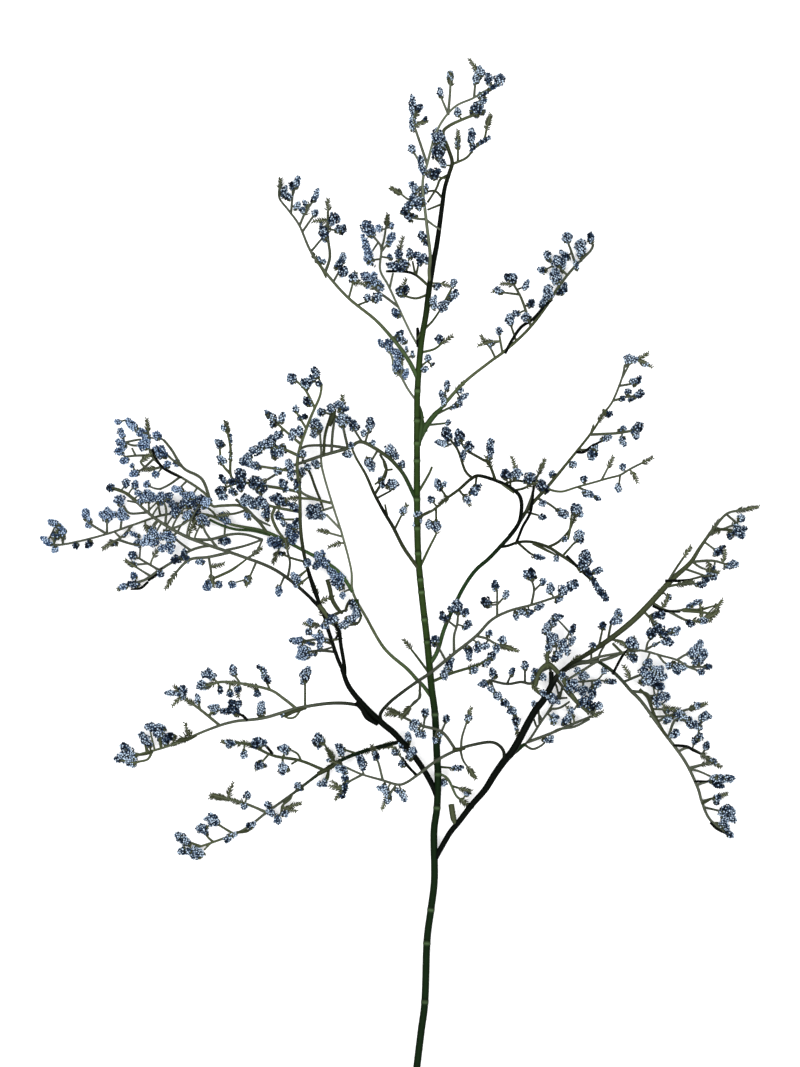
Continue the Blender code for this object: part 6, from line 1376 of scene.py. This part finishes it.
# The low right branch: thick plastic, nearly black, set into the stem. It carries most of the right
# side, and its front twigs form a row of heads over the fork.
grown(
    "low_right_branch", 22, greens=(*[BLACK_GREEN] * 5, TWIG_GREY), tone=0.5,
    radii=(2.0, 2.2, 2.8, 2.4, 1.5),
    route=[
        (11, 178, 12.5), (17.6, 190, 15), (24, 201, 17.5), (31.2, 210, 19.5), (41.6, 223.6, 22),
        (52, 235.6, 24), (60, 248.4, 26), (68, 259.6, 28), (75.2, 268.4, 29), (90.4, 296.4, 32),
        (99.2, 308.4, 33), (108, 324, 34), (115.2, 331.6, 34), (125.6, 337, 34), (143, 338.8, 34),
    ],
    twigs=[
        [(29, 208), (26, 218)], [(106, 321), (104, 333), (101.6, 341), (103, 360)],
        [(103, 350), (113, 352), (120, 362)],
        [(103.5, 334), (95, 329), (89, 321), (80.8, 322), (69.6, 320.4), (55, 323.6)],
        [(92, 323), (92, 330)], [(109, 325), (114.4, 318), (120, 311), (129, 303), (139, 296)],
        [(84, 321.6), (84, 333)], [(69.6, 320.4), (73, 328)],
        [(56, 322), (60, 313), (68, 306), (73, 300), (77, 290), (78, 283)],
    ],
    heads=[
        (26, 219, 11, 2.8, -15), (121.6, 319, 12.8, 10, 30), (131, 306, 12.8, 10, 60, -0.15),
        (138, 302, 9.6, 8, 60, -0.4), (143, 303, 7, 7, 90), (107, 371, 9.6, 6.4, 10), (102.4, 365, 11, 6),
        (108, 356, 9.6, 6.4), (122, 364, 9.6, 5), (114, 352, 9.6, 8), (121.6, 355, 9, 5, 30),
        (110.4, 344, 8, 5), (58.4, 329, 9.6, 6.4, -20), (51, 320.5, 9.6, 6.4, -100), (73.6, 330, 8, 5),
        (84, 335, 8, 6.4), (62, 311, 8, 7, 120), (68, 305, 8, 7, 135), (73, 299, 8, 7, 150),
        (77, 291, 8, 7, 165), (92, 330, 6.4, 5.5), (105, 310, 9.6, 6.4, 160),
    ],
    sprigs=[(78, 282), (100, 345)],
    small_twigs=[
        [(142, 337), (128, 330), (118, 324)], [(142, 339), (144, 345), (148, 352)],
        [(114, 319), (112, 308)],
    ],
    small_heads=[
        (57, 316, 7, 5, -50, 0.1), (110, 374, 10, 6, 85, -0.3), (101, 364, 10, 7, 0, 0.05),
        (105, 357, 10, 8, 0, 0.05), (103, 349, 8, 6, 0, 0.1), (109, 342, 10, 6, 50, -0.4),
        (115, 348, 10, 5, 50, 0.05), (118, 346, 6, 5, 0, 0.1), (114, 327, 7, 6, -30, 0.05),
        (126, 331, 6, 6, 0, 0.3), (91, 324, 8, 5, -10, 0.2), (98, 326, 7, 6, 80, 0.3),
        (100, 312, 10, 6, -60, 0.1), (70, 304, 6, 4, -30, 0.2), (75, 298, 7, 5, -20, 0.3),
        (78, 290, 6, 4, 0, 0.35), (77, 285, 6, 3, -15, 0.2), (121, 299, 6, 5, 30, 0.1),
    ],
    small_sprigs=[(118, 330), (108, 335), (94, 316), (130, 298)],
    bands=[
        (2, OLIVE, (92, 319), (94, 326), (97, 332), (103, 336), (110, 330), (117, 320), (123, 309),
            (134, 298)), (1.6, OLIVE, (102, 333), (102, 344), (104, 349)),
        (2, BLACK_GREEN, (105, 330), (105, 322), (103, 314)), (1.2, OLIVE, (90, 319), (94, 314), (98, 311)),
        (2.4, OLIVE, (25, 224), (26, 217), (27, 212), (29, 207)),
    ],
)

# A thin grey-green plastic spray under the low right branch, which it is set into. It stays close to
# the surface.
grown(
    "right_back_spray", 23, greens=(TWIG_GREY, TWIG_GREY), tone=0.55,
    radii=(0.9, 0.9, 0.85, 0.85, 0.8),
    route=[
        (70, 262, 28.2), (77, 267, 19), (86, 273.5, 14), (96, 288, 13), (104, 300, 12), (109, 308, 12),
        (119, 321, 12), (131, 322, 12), (143, 323.5, 12),
    ],
    twigs=[
        [(86, 273), (102.4, 279.6), (124.8, 289), (137, 294)], [(98, 291), (92, 302)],
        [(131, 322), (130.4, 314)], [(138, 322.5), (138, 314)],
    ],
    heads=[
        (108, 293, 8, 6.4), (119, 293, 8, 6), (102.4, 275, 9.6, 5, 100), (91.5, 304, 6, 5),
        (130.4, 327, 8, 7), (130, 314, 8, 7, 180), (138, 313, 11, 7, 180), (148, 331, 6.4, 6),
        (153, 322, 10, 5, 90),
    ],
    sprigs=[(120, 297), (138, 296)],
    small_twigs=[
        [(104, 300), (112, 301), (120, 306)], [(110, 308), (118, 309)], [(112, 308), (109, 320)],
        [(96, 288), (95, 300)], [(95, 285), (93, 287), (91, 293)], [(100, 295), (106, 300)],
        [(84, 271), (90, 268), (96, 270), (100, 273)], [(106, 282), (112, 284), (124, 286), (136, 292)],
    ],
    small_heads=[
        (117, 324, 8, 6, -45, 0.1), (132, 326, 8, 5, 80, 0.3), (130, 316, 10, 6, 90, 0.1),
        (142, 320, 8, 6, 50, 0.05), (106, 308, 10, 7, 110, -0.1), (110, 306, 6, 4, 110, 0.05),
        (107, 292, 10, 6, 0, 0.1), (117, 291, 10, 6, 40, -0.3), (105, 277, 6, 4, 60, 0.2),
    ],
    bands=[(2.2, DEEP_GREEN, (70, 262), (77, 267), (84, 272))],
)

# The upper outer spray: the plastic branch of the right side that reaches furthest up and right. It is
# set into the low right branch.
grown(
    "upper_outer_spray", 24, greens=(BLACK_GREEN, DARK_OLIVE, DARK_OLIVE, GREY_OLIVE), tone=0.5,
    radii=(1.4, 2.0, 2.3, 1.3, 0.8),
    route=[
        (113, 330, 34), (121, 337, 39), (132.8, 344, 43), (151, 356, 44), (168.8, 370, 43), (183, 384, 40),
        (201.6, 404, 34), (216, 417, 28), (224, 429, 22), (234.4, 443.6, 15), (243, 454, 11), (249, 458, 9),
        (262, 460.4, 7),
    ],
    twigs=[
        [(246, 456), (254, 449), (256, 445)], [(216.8, 418), (234, 419), (246, 416)],
        [(228, 434), (236, 428)], [(212, 412), (228, 407)], [(196, 398), (212.8, 401), (224, 400)],
        [(196, 398), (203, 410), (211, 422)], [(184.8, 386), (198, 379), (211, 380), (218, 384)],
        [(198, 379), (214, 371), (225, 371)], [(178.4, 379), (189, 368), (197, 360)],
        [(150, 355.5), (153, 369), (157, 375)], [(143, 350.5), (146, 365)],
    ],
    heads=[
        (257.6, 453, 7, 7, 60), (255.5, 443, 15, 7.5, 150, -0.15), (239, 426, 9.6, 7, 60, -0.3),
        (249, 415.6, 12.8, 6.4, 70), (230.5, 406, 11, 6.4, 60), (225, 400, 9.6, 5.6, 90),
        (220, 385, 9.6, 5, 60), (216, 369, 8, 6, 120), (226.4, 371, 8, 6, 80), (191.5, 375, 10, 5, 120),
        (190.4, 365, 11, 9, 140), (184, 361, 9, 7, 190), (202.4, 362, 9.6, 6.4, 110),
        (198.4, 355, 9.6, 6, 150), (158.4, 378, 6.4, 6), (155, 370.5, 8, 6.4, 60), (146, 367, 7, 6.4),
    ],
    sprigs=[(265, 461), (243, 423), (231, 413), (212, 425), (196, 387), (238, 384), (234, 376)],
    small_twigs=[
        [(256, 448), (250, 447), (242, 444)], [(229, 406), (224, 406), (216, 404)],
        [(218, 418), (224, 414), (229, 412)], [(220, 400), (216, 404)],
    ],
    small_heads=[
        (138, 351, 6, 6, 0, -0.2), (158, 375, 8, 8, 0, 0.1), (159, 371, 6, 6, 120, 0.1),
        (188, 375, 10, 5, 80, -0.4), (249, 439, 7, 6, 180, -0.4), (259, 444, 8, 6, 70, -0.3),
        (253, 442, 8, 6, 80, -0.3), (242, 430, 6, 3, 75, -0.5), (252, 416, 8, 6, 85, 0.1),
        (229, 404, 6, 6, 180, -0.1), (235, 406, 6, 6, 120, -0.3), (235, 413, 5, 3, 30, -0.2),
        (199, 390, 5, 5, 90, -0.3), (191, 376, 11, 6, 80, -0.4), (237, 383, 4, 3, 90, -0.3),
        (216, 383, 7, 5, 60, -0.2), (224, 386, 5, 5, 80, 0.05), (186, 361, 11, 6, 30, -0.4),
        (195, 360, 8, 6, 60, -0.3), (205, 364, 8, 5, 70, 0.1), (198, 354, 11, 6, 95, 0.1),
    ],
    small_sprigs=[
        (117, 340), (253, 457), (242, 442), (238, 440), (194, 388), (184, 375), (224, 379), (234, 377),
        (216, 372), (222, 375), (204, 401), (208, 401), (234, 411), (229, 412),
    ],
    bands=[
        (1.2, DARK_OLIVE, (234, 444), (244, 444), (254, 443)),
        (1.2, BLACK_GREEN, (196, 403), (206, 403), (216, 404)),
        (1.2, BLACK_GREEN, (186, 383), (196, 379), (208, 378)),
        (1.2, OLIVE, (210, 380), (224, 380), (235, 383)), (1.2, OLIVE, (210, 379), (224, 378), (236, 376)),
    ],
)

# The level outer spray: a short level plastic branch between the two outer ones, also set into the low
# right branch.
grown(
    "level_outer_spray", 25, greens=(TWIG_GREY, GREY_OLIVE), tone=0.5,
    radii=(1.1, 0.9, 0.8, 0.7, 0.65),
    route=[
        (134, 338.6, 34), (141, 341.5, 38), (150, 343.5, 38), (161.6, 345.5, 36), (172.8, 347.6, 34),
        (183, 346, 33), (193.6, 343, 32), (205.6, 339.6, 30), (215, 334, 28), (223, 331, 27),
    ],
    twigs=[[(205.6, 339.6), (213, 344), (219, 346)], [(215, 334), (229, 334)], [(166, 346), (169, 352)]],
    heads=[
        (221, 347, 12.8, 9, 40), (230.4, 334, 8, 5, 90), (225, 330, 7, 5.6, 120), (205, 333, 12, 7, 160),
        (168.8, 353, 11, 9), (171, 341, 8, 7, 170),
    ],
    sprigs=[(163, 349)],
    small_twigs=[
        [(137, 340), (137, 348)], [(181, 348), (182, 353), (184, 356)],
        [(181, 348), (188, 352), (194, 355)], [(190, 343), (195, 338), (198, 336)],
    ],
    small_heads=[
        (171, 352, 10, 7, 120, 0.1), (170, 342, 10, 7, 140, -0.3), (182, 338, 8, 5, 70, -0.1),
        (188, 352, 5, 3, 70, 0.05), (224, 352, 9, 6, 25, 0.1), (218, 345, 10, 8, 0, 0.05),
        (227, 344, 10, 8, 10, 0.1), (224, 340, 10, 7, 30, -0.1), (220, 338, 6, 5, 40, -0.1),
        (210, 334, 10, 6, 85, 0.3), (199, 335, 6, 6, -45, 0.2),
    ],
    small_sprigs=[(162, 352), (166, 348), (164, 344)],
    bands=[
        (1.3, GREY_OLIVE, (144, 339), (154, 342), (162, 345)),
        (1.1, OLIVE, (154, 353), (160, 347), (165, 343)), (1.1, OLIVE, (154, 356), (162, 354), (166, 349)),
        (1.1, BLACK_GREEN, (154, 328), (158, 336), (162, 343), (166, 348)),
    ],
)

# The falling outer spray: set into the low right branch, it runs out to the right and down in one
# plastic moulding, and rests on the surface near its end.
grown(
    "falling_outer_spray", 26, greens=(DARK_GREEN, GREY_OLIVE, GREY_OLIVE, TWIG_GREY), tone=0.5,
    radii=(1.3, 1.3, 1.25, 1.1, 0.9),
    route=[
        (142, 338.8, 34), (146.4, 336, 31.5), (153.6, 331, 28), (161, 324, 25), (168.8, 315, 22),
        (177.6, 306, 20), (193.6, 284, 15), (212, 259, 10.5), (222.4, 238, 7), (226.4, 225, 5.3),
        (233, 211, 4.2), (248, 199.5, 3.4),
    ],
    twigs=[
        [(169, 314.5), (182.4, 312), (186, 301), (191, 288)], [(163, 322), (178, 328), (190, 330)],
        [(183, 311), (193, 310)], [(190, 290), (206, 297), (222, 302)],
        [(199, 277), (206, 292), (224, 285)], [(207, 266), (215, 269), (224, 265), (233, 259)],
        [(216, 252), (229, 256)], [(222, 239), (234, 243), (245, 245)], [(226, 226), (237, 229)],
        [(228, 221), (241, 218)],
    ],
    heads=[
        (179.2, 331, 9.6, 8), (184, 337, 8, 5), (191.5, 331, 9.6, 8, 40), (186, 325, 16, 10, 90),
        (192, 318, 9, 7, 90), (194, 310, 12.8, 9, 90), (222.4, 303, 6.4, 6), (227, 294, 11, 6.4, 30),
        (207, 294, 11, 8, 100), (218, 288, 11, 8, 115), (198.4, 291, 8, 5.6, 60), (204, 280, 9.6, 7, 60),
        (224, 278, 7, 7, 40), (229.6, 270, 6.4, 6, None, -0.4), (235, 258, 7, 5.6, 110),
        (238, 244, 12.8, 8, 80), (248, 245, 9.6, 5.6, 90), (238.5, 229, 6.4, 6, 80), (246, 219, 11, 9, 70),
        (244, 209, 11, 6.4, 40), (249, 199, 6.4, 6, 110),
    ],
    sprigs=[(213, 304), (196, 300), (231, 257), (240, 232), (238, 213)],
    small_twigs=[
        [(186, 300), (192, 300), (198, 300)], [(200, 295), (192, 294), (184, 294)],
        [(216, 253), (224, 255), (232, 257)], [(216, 252), (224, 250), (233, 246)],
    ],
    small_heads=[
        (194, 326, 9, 6, 95, 0.2), (188, 332, 8, 6, 60, 0.3), (189, 320, 13, 5, 95, -0.4),
        (180, 322, 10, 6, 90, 0.1), (182, 328, 10, 6, 90, 0.05), (189, 309, 8, 7, 90, -0.3),
        (190, 304, 7, 5, 110, 0.2), (198, 310, 6, 6, 80, 0.1), (198, 299, 6, 5, 90, -0.2),
        (208, 297, 11, 6, 110, 0.1), (214, 292, 11, 6, 125, 0.1), (222, 287, 10, 6, 125, 0.1),
        (229, 294, 11, 6, 90, 0.05), (221, 275, 8, 6, 40, -0.45), (230, 271, 8, 5, 20, -0.4),
        (238, 240, 13, 6, 115, -0.5), (247, 244, 10, 6, 105, 0.4), (242, 244, 11, 7, 100, 0.1),
        (238, 225, 5, 4, 110, -0.5), (238, 228, 6, 6, 80, 0.05), (249, 218, 10, 7, 110, 0.2),
        (243, 216, 8, 7, 150, 0.1), (250, 212, 10, 6, 120, 0.3), (244, 210, 8, 6, 160, -0.3),
        (246, 205, 6, 5, 130, -0.1), (247, 201, 10, 5, 130, -0.4),
    ],
    small_sprigs=[
        (165, 330), (197, 301), (214, 304), (194, 298), (220, 300), (226, 267), (228, 264), (224, 257),
        (238, 210), (235, 210),
    ],
    bands=[
        (1.2, BLACK_GREEN, (203, 271), (214, 270), (219, 267), (225, 264)),
        (1, BLACK_GREEN, (220, 242), (226, 242), (232, 242)),
        (1.2, DARK_OLIVE, (226, 224), (230, 226), (234, 228)),
        (1.1, BLACK_GREEN, (233, 209), (238, 204), (245, 200)),
        (1.3, DARK_OLIVE, (176, 316), (182, 310), (185, 303), (188, 295), (194, 284), (199, 277)),
    ],
)

# The left crossing spray, of thin plastic: set into the low right branch, it arches left in front of
# the main stem.
grown(
    "left_crossing_spray", 27, greens=(BLACK_GREEN, TWIG_GREY, GREY_OLIVE), tone=0.55,
    radii=(1.2, 1.2, 1.1, 0.95, 0.75),
    route=[
        (67, 258, 27.7), (67, 266, 34), (63, 271.5, 38), (56, 274, 40), (43.2, 272, 41), (31.2, 268.4, 42),
        (14.4, 260, 42), (-1.6, 248, 42), (-10.4, 242, 42), (-17.6, 240, 42), (-30.4, 243.6, 41),
        (-47, 248.4, 39), (-62, 255, 37),
    ],
    twigs=[
        [(-46, 248), (-57, 242), (-61.6, 236)], [(-45, 248), (-47, 257)],
        [(-30, 243.6), (-32.8, 256), (-35, 262)], [(-3.2, 247.5), (-16, 263)],
        [(28.8, 267.5), (17.6, 282), (1.6, 287), (-9.6, 292), (-17, 296)],
        [(32.8, 269), (33.6, 278), (38, 292)], [(32, 269), (34.4, 259.6), (39, 253)],
        [(17, 282), (21, 291)], [(3, 287), (4, 295)],
    ],
    heads=[
        (-64, 253, 8, 6.4, -100), (-60, 245, 7, 6, None, -0.1), (-61, 235, 9.6, 5.6, 200, -0.4),
        (-47.2, 259, 9.6, 7), (-35.2, 263, 8, 6, None, -0.35), (-28.8, 237, 8, 5.6, 190),
        (-14.4, 233, 7, 6.4, 180), (-1.5, 281, 7, 6, 190), (4, 297, 8, 6.4),
        (21, 292.4, 7, 6.4, None, -0.35), (-5.6, 288, 6.4, 6), (12, 276, 6, 5, 190), (38.4, 293, 8, 6.4),
    ],
    sprigs=[(-67, 238), (-26, 231), (-19, 297), (40, 251), (-17, 265)],
    small_twigs=[[(-19, 240), (-22, 236)]],
    small_heads=[
        (-46, 256, 10, 7, 170, -0.4), (-62, 252, 10, 7, -50, 0.1), (-60, 238, 11, 5, 190, -0.45),
        (-62, 231, 5, 5, 190, -0.4), (-30, 237, 10, 5, -80, 0.2), (-26, 232, 11, 6, -20, 0.1),
        (-26, 227, 6, 5, 180, -0.1), (-3, 290, 8, 4, -60, 0.1), (-5, 285, 8, 5, -80, 0.1),
        (2, 280, 8, 6, 160, 0.05), (16, 280, 6, 4, 20, 0.2), (-20, 266, 6, 6, -60, -0.2),
        (-14, 257, 7, 7, -20, 0.05), (-13, 230, 8, 6, 150, 0.1), (-18, 235, 6, 4, 150, 0.05),
    ],
    small_sprigs=[
        (-64, 256), (-36, 262), (-32, 264), (-66, 236), (-66, 240), (-28, 225), (-18, 296), (-22, 296),
        (-12, 298), (39, 292), (38, 288), (38, 256),
    ],
    bands=[
        (1.1, BLACK_GREEN, (-3, 248), (-10, 255), (-14, 262)),
        (1.9, DARK_OLIVE, (26, 268), (30, 268), (36, 269)),
    ],
)

# The surface it lies on and the light: a plain near-white floor, a little brighter than its paint so that
# only the lowest sprays leave a soft mark on it, under three wide soft lamps and an even white sky.
FLOOR_HALF = 4.0
FLOOR_DROP = 0.0005
FLOOR_WHITE = (0.93, 0.93, 0.93, 1.0)
FLOOR_GLOW = 0.15
PURE_WHITE = (1.0, 1.0, 1.0, 1.0)
SKY_STRENGTH = 0.58
LAMPS = (((-1.4, 0.5, 5.0), 170.0), ((1.4, 0.3, 5.0), 125.0), ((0.0, -1.7, 5.0), 115.0))
LAMP_SIZE = 2.0
floor_mesh = bpy.data.meshes.new("floor")
floor_mesh.from_pydata(
    [(x * FLOOR_HALF, y * FLOOR_HALF, -FLOOR_DROP) for x, y in ((-1, -1), (1, -1), (1, 1), (-1, 1))],
    [], [(0, 1, 2, 3)],
)
floor_paint = bpy.data.materials.new("floor_paint")
floor_paint.use_nodes = True
floor_shader = floor_paint.node_tree.nodes["Principled BSDF"]
floor_shader.inputs["Base Color"].default_value = FLOOR_WHITE
floor_shader.inputs["Roughness"].default_value = 0.9
floor_shader.inputs["Specular IOR Level"].default_value = 0.0
floor_shader.inputs["Emission Color"].default_value = PURE_WHITE
floor_shader.inputs["Emission Strength"].default_value = FLOOR_GLOW
floor_mesh.materials.append(floor_paint)
floor = bpy.data.objects.new("floor", floor_mesh)
bpy.context.scene.collection.objects.link(floor)

world = bpy.data.worlds.new("studio")
world.use_nodes = True
world.node_tree.nodes["Background"].inputs["Color"].default_value = PURE_WHITE
world.node_tree.nodes["Background"].inputs["Strength"].default_value = SKY_STRENGTH
bpy.context.scene.world = world
for number, (place, power) in enumerate(LAMPS):
    lamp = bpy.data.lights.new(f"soft_lamp_{number}", "AREA")
    lamp.shape = "SQUARE"
    lamp.size = LAMP_SIZE
    lamp.energy = power
    lamp_object = bpy.data.objects.new(f"soft_lamp_{number}", lamp)
    lamp_object.location = place
    lamp_object.rotation_euler = (-Vector(place)).to_track_quat("-Z", "Y").to_euler()
    bpy.context.scene.collection.objects.link(lamp_object)
bpy.context.scene.view_settings.view_transform = "Standard"

# The camera stands far above the middle of the photograph's frame and looks straight down. Its long lens
# spans the frame's height at the middle height of the spray.
FRAME_HIGH = 0.8536
FRAME_CENTRE = (0.0002, 0.0339)
CAMERA_HEIGHT = 10.0
MIDDLE_HEIGHT = 0.035
SENSOR_WIDTH = 36.0
camera_data = bpy.data.cameras.new("camera")
camera_data.sensor_width = SENSOR_WIDTH
camera_data.lens = SENSOR_WIDTH * (CAMERA_HEIGHT - MIDDLE_HEIGHT) / FRAME_HIGH
camera = bpy.data.objects.new("camera", camera_data)
camera.location = (*FRAME_CENTRE, CAMERA_HEIGHT)
bpy.context.scene.collection.objects.link(camera)
bpy.context.scene.camera = camera
